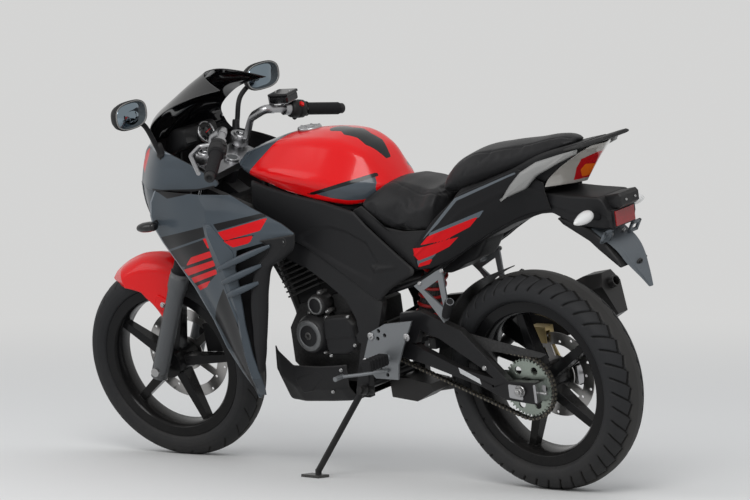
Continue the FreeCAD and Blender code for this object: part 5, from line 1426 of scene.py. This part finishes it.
def reliefPanel(outline, low, face, relief, rings=44, around=150, finish=0):
    # side = face + relief(distance to the outline, points), the back flat at low
    corners = np.asarray(outline, float)
    rim = evenLoop(roundedOutline(corners, 9, 4), around)
    middle = rim.mean(axis=0)
    share = np.linspace(0.02, 1, rings)[:, None, None] ** 0.8
    flat = middle + (rim[None] - middle) * share
    points = np.insert(flat, 1, 0, axis=2)
    depth = fieldOf(rim)(points.reshape(-1, 3)).reshape(points.shape[:2])
    points[..., 1] = face + relief(np.maximum(depth, 0), points)
    back = points[-1:].copy()
    back[..., 1] = low
    return ringsPart(np.vstack([points, back]), finish=finish)


def rolledEdge(depth, width):
    # a quarter round: 0 at the rim, 1 from the width inward
    share = np.clip(depth / width, 0, 1)
    return np.sqrt(1 - (1 - share) ** 2)


coverOutline = [(853, 879), (800, 862), (699, 838), (592, 820), (518, 801), (487, 793), (447, 754), (396, 713),
    (340, 669), (298, 638), (301, 622), (349, 600), (397, 573), (438, 540), (556, 615), (679, 688),
    (760, 720), (860, 800)]
seatSidePanel = [(506, 792), (470, 806), (430, 776), (396, 748), (330, 738), (236, 744), (232, 706), (262, 668),
    (300, 632), (346, 664), (400, 706), (452, 748)]
coverHollow = fieldOf([(684, 724), (639, 741), (576, 749), (517, 736), (451, 706), (420, 650), (452, 600), (560, 645),
    (690, 706)])
coverBlister = fieldOf([(452, 646), (352, 646), (356, 636), (436, 622), (450, 632)])


def coverRelief(depth, points):
    # the rim rolls over 7 mm; a broad field along the frame sinks 5 mm and a blister near the tail rises 6 mm
    flat = points.reshape(-1, 3)
    hollow = np.clip(coverHollow(flat) / 14 + 0.5, 0, 1).reshape(depth.shape)
    blister = np.clip(coverBlister(flat) / 10, 0, 1).reshape(depth.shape)
    seam = np.exp(-((points[..., 0] - 846 - (points[..., 2] - 843) * 0.34) / 1.6) ** 2)
    return 7 * rolledEdge(depth, 9) - 5 * hollow * hollow * (3 - 2 * hollow) + 6 * blister - 1.5 * seam - 3.5


coverParts = [reliefPanel(coverOutline, 135.4, 139.4, coverRelief)]
coverParts.append(turnedPart([(9, -4), (11, 0.4), (9.5, 1.2), (8, -2)], (442, 138.5, 583), (0, 1, 0), 24))
coverParts.append(slabPart(roundedOutline(seatSidePanel, 6, 3), 116, 123, 2.5))
coverBolts = boltPart((442, 137.5, 583), (0, 1, 0), 4.5, 1)
makePiece("frameCoverPanels", bothSides(coverParts + coverBolts), ["blackPlastic", "axleSteel"],
    standsFor=["frame_covers"])

trimRear = [(655, 742), (666, 700), (700, 674), (745, 649), (767, 594), (784, 513), (812, 400), (836, 340)]
trimFront = [(780, 722), (770, 716), (757, 704), (800, 648), (826, 592), (840, 529), (843, 466),
    (850, 390), (852, 342)]


trimLook = dict(steps=90, across=21, proud=11, crease=3)


def trimPart():
    # a strip between two edges, rounded across, its middle crease 3 mm proud
    rear, front = smoothLine(trimRear, trimLook["steps"]), smoothLine(trimFront, trimLook["steps"])
    share = np.linspace(0, 1, trimLook["across"])[None, :, None]
    flat = rear[:, None] + (front - rear)[:, None] * share
    across = share[..., 0]
    rise = trimLook["proud"] * (1 - np.abs(2 * across - 1) ** 7)
    rise = rise + trimLook["crease"] * (1 - np.abs(2 * across - 0.8).clip(0, 1))
    face = 200.6 + 0.105 * (flat[..., 0] - 652) - 16 * ((430 - flat[..., 1]) / 120).clip(0, 1)
    outer = np.stack([flat[..., 0], face + rise, flat[..., 1]], -1)
    return shellPart(outer, np.stack([flat[..., 0], face, flat[..., 1]], -1))


trimParts = [trimPart()]
trimParts.append(turnedPart([(11, -4), (13, 0.5), (11, 1.5), (9, -3)], (690, 217, 722), (-0.10, 1, 0), 28))
trimParts += boltPart((690, 213.5, 722), (-0.10, 1, 0), 5, 1)
makePiece("fairingTrim", bothSides(trimParts), ["blackPlastic", "axleSteel"], standsFor=["fairing_trims"])

# Fins: three tapered bars from the blade back to the trim

finRows = [((928, 241, 641), (866, 247, 664), (795, 238, 690), (735, 224, 711)),
    ((918, 241, 603), (864, 247, 622), (820, 240, 638), (775, 226, 655)),
    ((906, 241, 566), (861, 247, 581), (828, 240, 592), (792, 227, 605))]
finLook = dict(steps=34, thick=8.5, tall=1.15, narrow=0.85)


def finPart(route):
    # an oval section, higher than it is thick, that thins out to both ends as a sine
    centre = smoothLine(route, finLook["steps"])
    share = np.linspace(0, 1, finLook["steps"])
    reach = finLook["thick"] * np.sin(np.pi * (0.12 + 0.80 * share)) ** 0.6
    along = unit(centre[-1] - centre[0])
    up = np.cross(along, [0, 1.0, 0])
    up *= np.sign(up[2])
    ring = circleRound(up * finLook["tall"], np.array([0, finLook["narrow"], 0]), 20)
    return ringsPart(centre[:, None] + ring * reach[:, None, None])


makePiece("fairingFins", bothSides([finPart(route) for route in finRows]), ["slatePaint"], standsFor=["fairing_fins"])

# Dark inner wall of the duct behind the fins, between the blade's rear edge and the trim


def ductPart():
    # a strip between two lines of height, bowed 10 mm inward across its width
    z = np.linspace(742, 346, 64)
    front = np.interp(-z, [-742, -640, -474, -388, -300], [922, 908, 900, 884, 866])
    rear = np.interp(-z, [-742, -706, -645, -529, -400, -300], [758, 742, 784, 830, 850, 852])
    share = np.linspace(0, 1, 15)[None, :]
    x = front[:, None] + (rear - front)[:, None] * share
    y = 203 - 12 * np.sin(np.pi * share) - 14 * ((430 - z[:, None]) / 120).clip(0, 1)
    outer = np.stack([x, y, np.broadcast_to(z[:, None], x.shape)], -1)
    return shellPart(outer, outer - [0, 3, 0])


makePiece("ductWalls", bothSides([ductPart()]), ["blackPlastic"])

# Engine covers: the round alternator cover with its rim and bolts, the small round cover and the sprocket cover

coverWay = np.array([0, 1.0, 0])
engineParts = [
    turnedPart([(50, 64), (57, 70), (57.5, 100), (56, 112), (52, 118), (50, 124), (46, 128), (34, 131),
        (0.5, 132)], (723, 0, 428), coverWay, 72),
    turnedPart([(30, 127), (44, 126), (45, 129), (43, 131.5), (32, 132), (30, 131)], (723, 0, 428),
        coverWay, 72, 1, True),
    turnedPart([(10, 127), (11, 132.5), (9, 134), (4, 134), (3.5, 131)], (723, 0, 428), coverWay, 32),
    turnedPart([(30, 64), (31, 96), (30, 104), (27, 110), (20, 113), (0.5, 114)], (700, 0, 512), coverWay, 56),
    turnedPart([(20, 110), (26, 109.5), (26.5, 113), (21, 114.5)], (700, 0, 512), coverWay, 56, 1, True),
]
# bosses: middle, their distance from it, boss radius and depth, degrees
for middle, reach, size, deep, turns in (((723, 92, 428), 60, 8, 26, (70, 130, 190, 250, 330, 20)),
        ((700, 96, 512), 34, 7.5, 30, (100, 215, 335))):
    for turn in np.radians(turns):
        foot = middle + reach * np.array([math.cos(turn), 0, math.sin(turn)])
        engineParts.append(turnedPart([(size, -deep), (size, 0)], foot, coverWay, 16))
        engineParts += boltPart(foot, coverWay, 4.6, 2)
sprocketOutline = [(668, 478), (630, 486), (582, 490), (560, 468), (556, 410), (572, 386), (600, 376), (666, 372),
    (672, 400), (672, 450)]


def sprocketRelief(depth, points):
    # rolled rim, then two steps down towards the lower rear
    step = np.clip((points[..., 2] - 424 + (points[..., 0] - 600) * 0.10) / 6, 0, 1)
    return 9 * rolledEdge(depth, 12) + 3 * step - 6


engineParts.append(reliefPanel(sprocketOutline, 84, 119, sprocketRelief, 26, 90))
for spot in ((656, 121, 372), (563, 121, 406), (575, 121, 488)):
    engineParts += boltPart(spot, coverWay, 4.6, 2)
makePiece("engineSideCovers", engineParts, ["castBlack", "greyCast", "axleSteel"], standsFor=["engine_covers"])

# Belly pan: rounded sections between five rows, a raised panel at each side and its bolts

bellyRows = np.array([
    # x, half width at the top, at the shoulder and low down, low z, high z, how far down the shoulder sits
    (600, 128, 128, 92, 240, 350, 64), (634, 130, 131, 94, 233, 346, 66), (700, 130, 131, 95, 228, 340, 66),
    (801, 128, 130, 96, 222, 338, 62), (864, 114, 118, 84, 222, 374, 70), (892, 90, 96, 60, 248, 382, 66),
])


bellyLook = dict(rows=90, across=96, wall=3.5)


def bellyPart():
    # an open tray: outer wall from one top edge round the floor to the other, the inner wall inside it
    wall = bellyLook["wall"]
    full = straightRows(bellyRows, bellyLook["rows"])
    full[:, 1:] = softened(full[:, 1:], 5)
    outer, inner = [], []
    for x, top, mid, lowHalf, low, high, shoulder in full:
        corners = np.array([(top, high), (mid, high - shoulder), (lowHalf, low), (-lowHalf, low),
            (-mid, high - shoulder), (-top, high)])
        bend = evenLoop(roundedOutline(corners, [1, 14, 18, 18, 14, 1], 6), 132)
        start = int(np.argmin(np.abs(bend[:, 0] - top) + np.abs(bend[:, 1] - high)))
        bend = np.roll(bend, -start, axis=0)
        keep = bend[:, 1] < high - 0.5
        line = evenLine(np.vstack([[(top, high)], bend[keep], [(-top, high)]]), bellyLook["across"])
        outer.append(np.insert(line, 0, x, axis=1))
        inner.append(np.insert(line * [(top - wall) / top, 1], 0, x, axis=1))
        inner[-1][:, 2] = np.maximum(inner[-1][:, 2], low + wall)
    return shellPart(np.array(outer), np.array(inner))


# the raised panel is shallow, with a rolled rim
blister = reliefPanel([(800, 300), (722, 326), (694, 322), (686, 304), (735, 266), (775, 258)], 124, 129.5,
    lambda depth, points: 4.5 * rolledEdge(depth, 8) - 2.5, 20, 70)
bellySide = bothSides([blister])
for spot in ((620, 129.5, 334), (664, 126, 268)):
    bellySide += bothSides(boltPart(spot, coverWay, 5, 1))
makePiece("bellyTray", [bellyPart()] + bellySide, ["blackPlastic", "axleSteel"], standsFor=["belly_pan"])

# Chain: side plates and rollers, one link for each pitch round both sprockets

chainLook = dict(pitch=12.7, teeth=(15, 43), front=(600.0, 448.0), side=78.0)


def chainCourse():
    # points at even steps of one pitch along two arcs and the two straight runs that touch both
    small, large = (chainLook["pitch"] / (2 * math.sin(math.pi / teeth)) for teeth in chainLook["teeth"])
    front = np.array(chainLook["front"])
    rear = np.array([0.0, chassis["rearAxle"]])
    span = np.linalg.norm(front - rear)
    base = math.atan2(*(front - rear)[::-1])
    tilt = math.asin((large - small) / span)
    top, bottom = base + math.pi / 2 - tilt, base - math.pi / 2 + tilt
    frontArc = np.linspace(top, bottom, 60)
    rearArc = np.linspace(bottom, top - 2 * math.pi, 120)
    loop = np.vstack([front + small * np.stack([np.cos(frontArc), np.sin(frontArc)], -1),
        rear + large * np.stack([np.cos(rearArc), np.sin(rearArc)], -1)])
    length = lengthAlong(np.vstack([loop, loop[:1]]))[-1]
    count = int(round(length / chainLook["pitch"] / 2)) * 2
    return evenLoop(loop, count), length / count


def chainParts():
    # each template is moved to every link's middle and turned along the course; inner and outer plates alternate
    course, pitch = chainCourse()
    after = np.roll(course, -1, axis=0)
    middle, way = (course + after) / 2, unit(after - course)
    half = pitch / 2
    plateLine = np.array([(-half - 4, -2.2), (-half - 4, 2.2), (-half, 4.4), (0, 3.0), (half, 4.4), (half + 4, 2.2),
        (half + 4, -2.2), (half, -4.4), (0, -3.0), (-half, -4.4)])
    parts = []
    for first, level in ((0, 4.4), (0, -4.4), (1, 6.4), (1, -6.4)):
        local = np.array([np.insert(plateLine, 1, level - 0.8, axis=1), np.insert(plateLine, 1, level + 0.8, axis=1)])
        template = ringsPart(local, smooth=False)
        parts.append(repeated(template, middle[first::2], way[first::2], 0))
    turn = np.linspace(0, 2 * np.pi, 10, endpoint=False)
    for radius, reach, finish in ((4.2, 3.6, 1), (2.1, 8.2, 1)):
        circle = np.stack([radius * np.cos(turn), 0 * turn, radius * np.sin(turn)], -1)
        local = np.array([circle + [0, -reach, 0], circle + [0, reach, 0]])
        parts.append(repeated(ringsPart(local), course, way, finish))
    return parts


def repeated(template, middles, ways, finish):
    # one small part at many places: x runs along the way, y across the bike, z square to both
    local = turnedOutward(template)["points"]
    ahead = ways[:, None, :]
    x = middles[:, None, 0] + local[None, :, 0] * ahead[..., 0] - local[None, :, 2] * ahead[..., 1]
    z = middles[:, None, 1] + local[None, :, 0] * ahead[..., 1] + local[None, :, 2] * ahead[..., 0]
    y = chainLook["side"] + np.broadcast_to(local[None, :, 1], x.shape)
    points = np.stack([x, y, z], -1).reshape(-1, 3)
    step = (np.arange(len(middles)) * len(local))[:, None, None]
    right = turnedOutward(template)
    return dict(points=points, quads=(right["quads"][None] + step).reshape(-1, 4),
        triangles=(right["triangles"][None] + step).reshape(-1, 3), finish=finish, smooth=False)


makePiece("chainLinks", chainParts(), ["chainDark", "chainSteel"], standsFor=["drive_chain"])

# Swingarm fittings: bare label plate, axle nut, adjuster blocks, guard bolt

armSide = 112.0
axleEnd = (0, armSide, 305)
fittings = [slabPart([(207, 359), (138, 330), (134, 315), (203, 343)], armSide - 0.2, armSide + 0.8, 0.2, 3)]
adjuster = [(40, 322), (40, 284), (-6, 279), (-6, 318)]
fittings.append(slabPart(roundedOutline(adjuster, 4, 2), armSide - 0.2, armSide + 4.5, 1.0, 1))
fittings.append(slabPart(roundedOutline([(-46, 325), (-46, 275), (-54, 274), (-54, 326)], 1.5, 2), armSide - 40,
    armSide + 6, 1.0, 1))
fittings.append(turnedPart([(16, 4), (16, 7)], axleEnd, coverWay, 28, 2))
fittings.append(dict(turnedPart([(13.5, 6), (13.5, 15), (12, 17)], axleEnd, coverWay, 6, 2), smooth=False))
fittings.append(turnedPart([(7.5, 16), (7.5, 21), (6.5, 22)], axleEnd, coverWay, 20, 2))
fittings.append(tubeAlong([(-50, armSide - 8, 300), (-80, armSide - 8, 299)], 4.0, 12, 4, 2))
fittings += boltPart((116, armSide + 0.6, 362), coverWay, 6, 2)
armPoints = [turnedPart([(11, 0), (11, 3), (9, 4)], (552, 112.6, 424), coverWay, 28)]
makePiece("swingarmFittings", bothSides(fittings + armPoints), ["castBlack", "bareAlloy", "axleSteel", "labelSilver"])

# Foot controls: rubber blocks over the pegs, hanger bolts, pillion peg rubbers and bracket bolts

footParts = []
pegOutline = roundedOutline([(404, 372), (436, 372), (436, 402), (404, 402)], 6, 3)
footParts.append(slabPart(pegOutline, 166, 248, 3.0, 0))
for index in range(6):
    ribLow = 172 + index * 12.5
    footParts.append(slabPart(roundedOutline([(402.5, 370.5), (437.5, 370.5), (437.5, 403.5), (402.5, 403.5)], 6, 3),
        ribLow, ribLow + 6, 1.2, 0))
pillionRoute = [(208, 135, 510), (188, 148, 531), (161, 167.5, 559)]
footParts.append(tubeAlong(pillionRoute, [11, 13.5, 14, 14, 14, 14, 14, 13], 8, 8, 0))
for x, z in ((470, 446), (500, 372), (341, 449)):
    footParts.append(turnedPart([(11, -1), (11, 2.4), (10, 3.4)], (x, 154, z), coverWay, 24, 1))
    footParts += boltPart((x, 157, z), coverWay, 5, 2)
for x, z in ((290, 596), (207, 634)):
    footParts += boltPart((x, 130, z), coverWay, 5.5, 2)
makePiece("footFittings", bothSides(footParts), ["gripRubber", "bareAlloy", "axleSteel"])

# Shock absorber spring: a red coil round the damper


springLook = dict(start=(388, 0, 456), end=(318, 0, 655), radius=33, wire=4.6, turns=8)


def coilPart(start, end, radius, wire, turns, finish=0):
    # a circle of the wire's radius carried along a helix from start to end
    start, end = np.asarray(start, float), np.asarray(end, float)
    way = end - start
    length = np.linalg.norm(way)
    way /= length
    side = np.array([0, 1.0, 0])
    up = np.cross(way, side)
    turn = np.linspace(0, 2 * np.pi * turns, int(turns * 22))
    share = (turn / turn[-1])[:, None]
    route = start + way * length * share + radius * (np.cos(turn)[:, None] * side + np.sin(turn)[:, None] * up)
    return tubeAlong(route, wire, 10, len(route), finish)


makePiece("shockSpring", [coilPart(**springLook)], ["shockRed"])

# Handlebar fittings: grips, switches and the brake fluid cup, drawn with the steering straight

barInner = fromFork([-13.0, 110, 1131.5])
barOuter = fromFork([-128.3, 345, 1111.4])
barWay = unit(barOuter - barInner)
gripStart = barOuter - barWay * 120
gripLook = dict(long=114, radius=17.4, rib=0.7, ribStep=5.0)


def gripParts():
    # a sleeve with 22 shallow ribs, a flange at its inner end and a turned weight at the bar's end
    along = np.linspace(0, gripLook["long"], gripLook["long"] + 1)
    rib = gripLook["radius"] + gripLook["rib"] * (np.sin(along * 2 * np.pi / gripLook["ribStep"]) > 0)
    profile = [(21.5, 0), (21.5, 3.5)] + [(radius, 3.5 + reach) for radius, reach in zip(rib, along)]
    profile += [(0.5, 119)]
    weight = turnedPart([(14, 118), (15.2, 121), (15.2, 131), (13.5, 134), (8, 134), (7.5, 131)],
        gripStart, barWay, 28, 1)
    return [turnedPart(profile, gripStart, barWay, 28, 0), weight]


def switchParts(redKey):
    # two half shells with a joint line, a cable boss below and the keys on the face the rider sees
    body = turnedPart([(21, -56), (25, -51), (26.5, -34), (25.6, -31), (25.6, -29), (27, -26), (26, -11),
        (21, -6)], gripStart, barWay, 36, 2)
    up = np.array([-0.42, 0, 0.91])
    rider = np.array([-0.91, 0, -0.42])
    middle = gripStart - barWay * 26
    parts = [body]
    keys = [(-8, 0.75, 8, 7, 3 if redKey else 2), (8, 0.35, 5, 4, 2), (7, -0.25, 5, 5, 2), (-7, -0.45, 5, 5, 2)]
    for offset, lift, height, wide, finish in keys:
        way = unit(up * lift + rider * (1 - abs(lift) * 0.6))
        foot = middle + barWay * offset + way * 23.5
        parts.append(dict(turnedPart([(wide * 1.25, 0), (wide * 1.15, height)], foot, way, 4, finish), smooth=False))
    boss = tubeAlong([middle - up * 16 + rider * 2, middle - up * 34 - rider * 6], [9, 8, 7, 6], 14, 4, 2)
    return parts + [boss]


rightKeys = [mirrored(part) for part in switchParts(True)]
makePiece("gripSleeves", bothSides(gripParts()), ["gripRubber", "blackPlastic"], "steering_assembly",
    standsFor=["grips"])
makePiece("switchHousings", switchParts(False) + rightKeys,
    ["gripRubber", "blackPlastic", "blackPlastic", "redPaint"], "steering_assembly", standsFor=["switchgear"])

cupX, cupZ = barInner[0] - 25, barInner[2] + 2
cupParts = [blockPart((cupX - 32, -208, cupZ + 1), (cupX + 32, -148, cupZ + 24), 4, 0),
    blockPart((cupX - 34, -210, cupZ + 22), (cupX + 34, -146, cupZ + 31), 3, 0)]
for across in (-24, 24):
    cupParts += boltPart((cupX + across, -178, cupZ + 30.6), (0, 0, 1), 3.2, 1)
makePiece("reservoirCup", cupParts, ["glossBlack", "axleSteel"], "steering_assembly")

# Yoke fittings: fork caps, clamp bolts and the key barrel with its ring

yokeParts = []
for side in (1, -1):
    cap = fromFork([39, side * 95, 1012])
    yokeParts.append(turnedPart([(21, 0), (21.5, 20), (19, 24), (15, 24.5), (14.5, 22)], cap, steerAxis, 36, 0))
    yokeParts.append(dict(turnedPart([(9, 21), (9, 27), (8, 28)], cap, steerAxis, 6, 0), smooth=False))
stem = fromFork([0, 0, 984])
yokeParts.append(dict(turnedPart([(17, 0), (17, 9), (15.5, 11)], stem, steerAxis, 6, 0), smooth=False))
keyAt = fromFork([58, 0, 976])
yokeParts.append(turnedPart([(22, 0), (22, 24), (19, 27), (13, 27), (12.5, 24)], keyAt, steerAxis, 36, 1))
yokeParts.append(turnedPart([(12.8, 24), (18.5, 26), (18, 28.5), (13, 28)], keyAt, steerAxis, 36, 2, True))
makePiece("yokeFittings", yokeParts, ["bareAlloy", "blackPlastic", "discSteel"], "steering_assembly")

# Camera: the photograph's viewing place, fitted to both wheels

cameraPlace = dict(fromHub=(-5.587, 7.279, 0.777), forward=(0.6474, -0.7607, -0.0464), lens=163.1)
lens = bpy.data.cameras.new("camera")
lens.lens = cameraPlace["lens"]
lens.sensor_width = 36.0
camera = addObject("camera", lens)
forwardWay = unit(cameraPlace["forward"])
rightWay = unit(np.cross(forwardWay, [0, 0, 1]))
upWay = np.cross(rightWay, forwardWay)
matrix = np.eye(4)
matrix[:3, 0], matrix[:3, 1], matrix[:3, 2] = rightWay, upWay, -forwardWay
matrix[:3, 3] = rearHub + np.array(cameraPlace["fromHub"])
camera.matrix_world = Matrix(matrix.tolist())
bpy.context.scene.camera = camera

# Stage: a pale floor that fades into a plain back, a soft sky and two lamps

stage = dict(backTone=(0.66, 0.66, 0.655), floorTone=(0.74, 0.74, 0.73), skyAbove=(0.95, 0.97, 1.0),
    skyBelow=(0.16, 0.16, 0.165), skyLevel=0.85, keyWatts=190, keyPlace=(-3.2, 4.2, 4.6),
    fillWatts=45, fillPlace=(3.5, 3.8, 2.6), fadeFrom=1.6, fadeTo=7.0,
    target=(0, -0.05, 0.55), lampSize=3.0)


def shownRays(tree):
    # 1 for what the camera sees straight, mirrored or through glass, 0 for what lights the object
    pathNode = addNode(tree, "ShaderNodeLightPath")
    straight = mathNode(tree, "MAXIMUM", pathNode.outputs["Is Camera Ray"], pathNode.outputs["Is Transmission Ray"])
    return mathNode(tree, "MAXIMUM", straight, pathNode.outputs["Is Glossy Ray"])


floorMesh = bpy.data.meshes.new("floor")
floorMesh.from_pydata([(-60, -60, 0), (60, -60, 0), (60, 60, 0), (-60, 60, 0)], [], [(0, 1, 2, 3)])
floor = addObject("floor", floorMesh)
floorFinish = bpy.data.materials.new("floorFinish")
floorFinish.use_nodes = True
floorTree = floorFinish.node_tree
floorShader = floorTree.nodes["Principled BSDF"]
floorShader.inputs["Roughness"].default_value = 0.8
floorNoise = addNode(floorTree, "ShaderNodeTexNoise", in_Scale=1.5, in_Detail=3.0)
floorTone = mixColour(floorTree, floorNoise.outputs["Fac"], stage["floorTone"],
    tuple(v * 0.97 for v in stage["floorTone"]))
floorTree.links.new(floorTone, floorShader.inputs["Base Color"])
floorSpot = addNode(floorTree, "ShaderNodeTexCoord")
floorReach = addNode(floorTree, "ShaderNodeVectorMath", operation="LENGTH")
floorTree.links.new(floorSpot.outputs["Object"], floorReach.inputs[0])
fade = addNode(floorTree, "ShaderNodeMapRange", interpolation_type="SMOOTHSTEP", in_From_Min=stage["fadeFrom"],
    in_From_Max=stage["fadeTo"])
floorTree.links.new(floorReach.outputs["Value"], fade.inputs["Value"])
floorSeen = shownRays(floorTree)
floorGlow = addNode(floorTree, "ShaderNodeEmission", in_Color=(*stage["backTone"], 1))
floorMix = addNode(floorTree, "ShaderNodeMixShader")
floorTree.links.new(mathNode(floorTree, "MULTIPLY", floorSeen, fade.outputs["Result"]), floorMix.inputs[0])
floorTree.links.new(floorShader.outputs[0], floorMix.inputs[1])
floorTree.links.new(floorGlow.outputs[0], floorMix.inputs[2])
floorTree.links.new(floorMix.outputs[0], floorTree.nodes["Material Output"].inputs["Surface"])
floorMesh.materials.append(floorFinish)

world = bpy.data.worlds.new("studio")
bpy.context.scene.world = world
world.use_nodes = True
sky = world.node_tree
skyLight = sky.nodes["Background"]
skyLight.inputs["Strength"].default_value = stage["skyLevel"]
direction = addNode(sky, "ShaderNodeTexCoord")
split = addNode(sky, "ShaderNodeSeparateXYZ")
sky.links.new(direction.outputs["Generated"], split.inputs[0])
ramp = addNode(sky, "ShaderNodeMapRange", in_From_Min=0.0, in_From_Max=0.8)
sky.links.new(split.outputs["Z"], ramp.inputs["Value"])
skyColour = mixColour(sky, ramp.outputs["Result"], stage["skyBelow"], stage["skyAbove"])
skySeen = shownRays(sky)
backGlow = addNode(sky, "ShaderNodeBackground", in_Color=(*stage["backTone"], 1))
skyMix = addNode(sky, "ShaderNodeMixShader")
sky.links.new(skyColour, skyLight.inputs["Color"])
sky.links.new(skySeen, skyMix.inputs[0])
sky.links.new(skyLight.outputs[0], skyMix.inputs[1])
sky.links.new(backGlow.outputs[0], skyMix.inputs[2])
sky.links.new(skyMix.outputs[0], sky.nodes["World Output"].inputs["Surface"])


def softLamp(name, where, watts):
    # a square lamp that looks at the middle of the bike
    data = bpy.data.lights.new(name, "AREA")
    data.energy = watts
    data.size = stage["lampSize"]
    lamp = addObject(name, data)
    lamp.location = where
    lamp.rotation_euler = (Vector(stage["target"]) - Vector(where)).to_track_quat("-Z", "Y").to_euler()


softLamp("key", stage["keyPlace"], stage["keyWatts"])
softLamp("fill", stage["fillPlace"], stage["fillWatts"])
bpy.context.scene.view_settings.view_transform = "Standard"
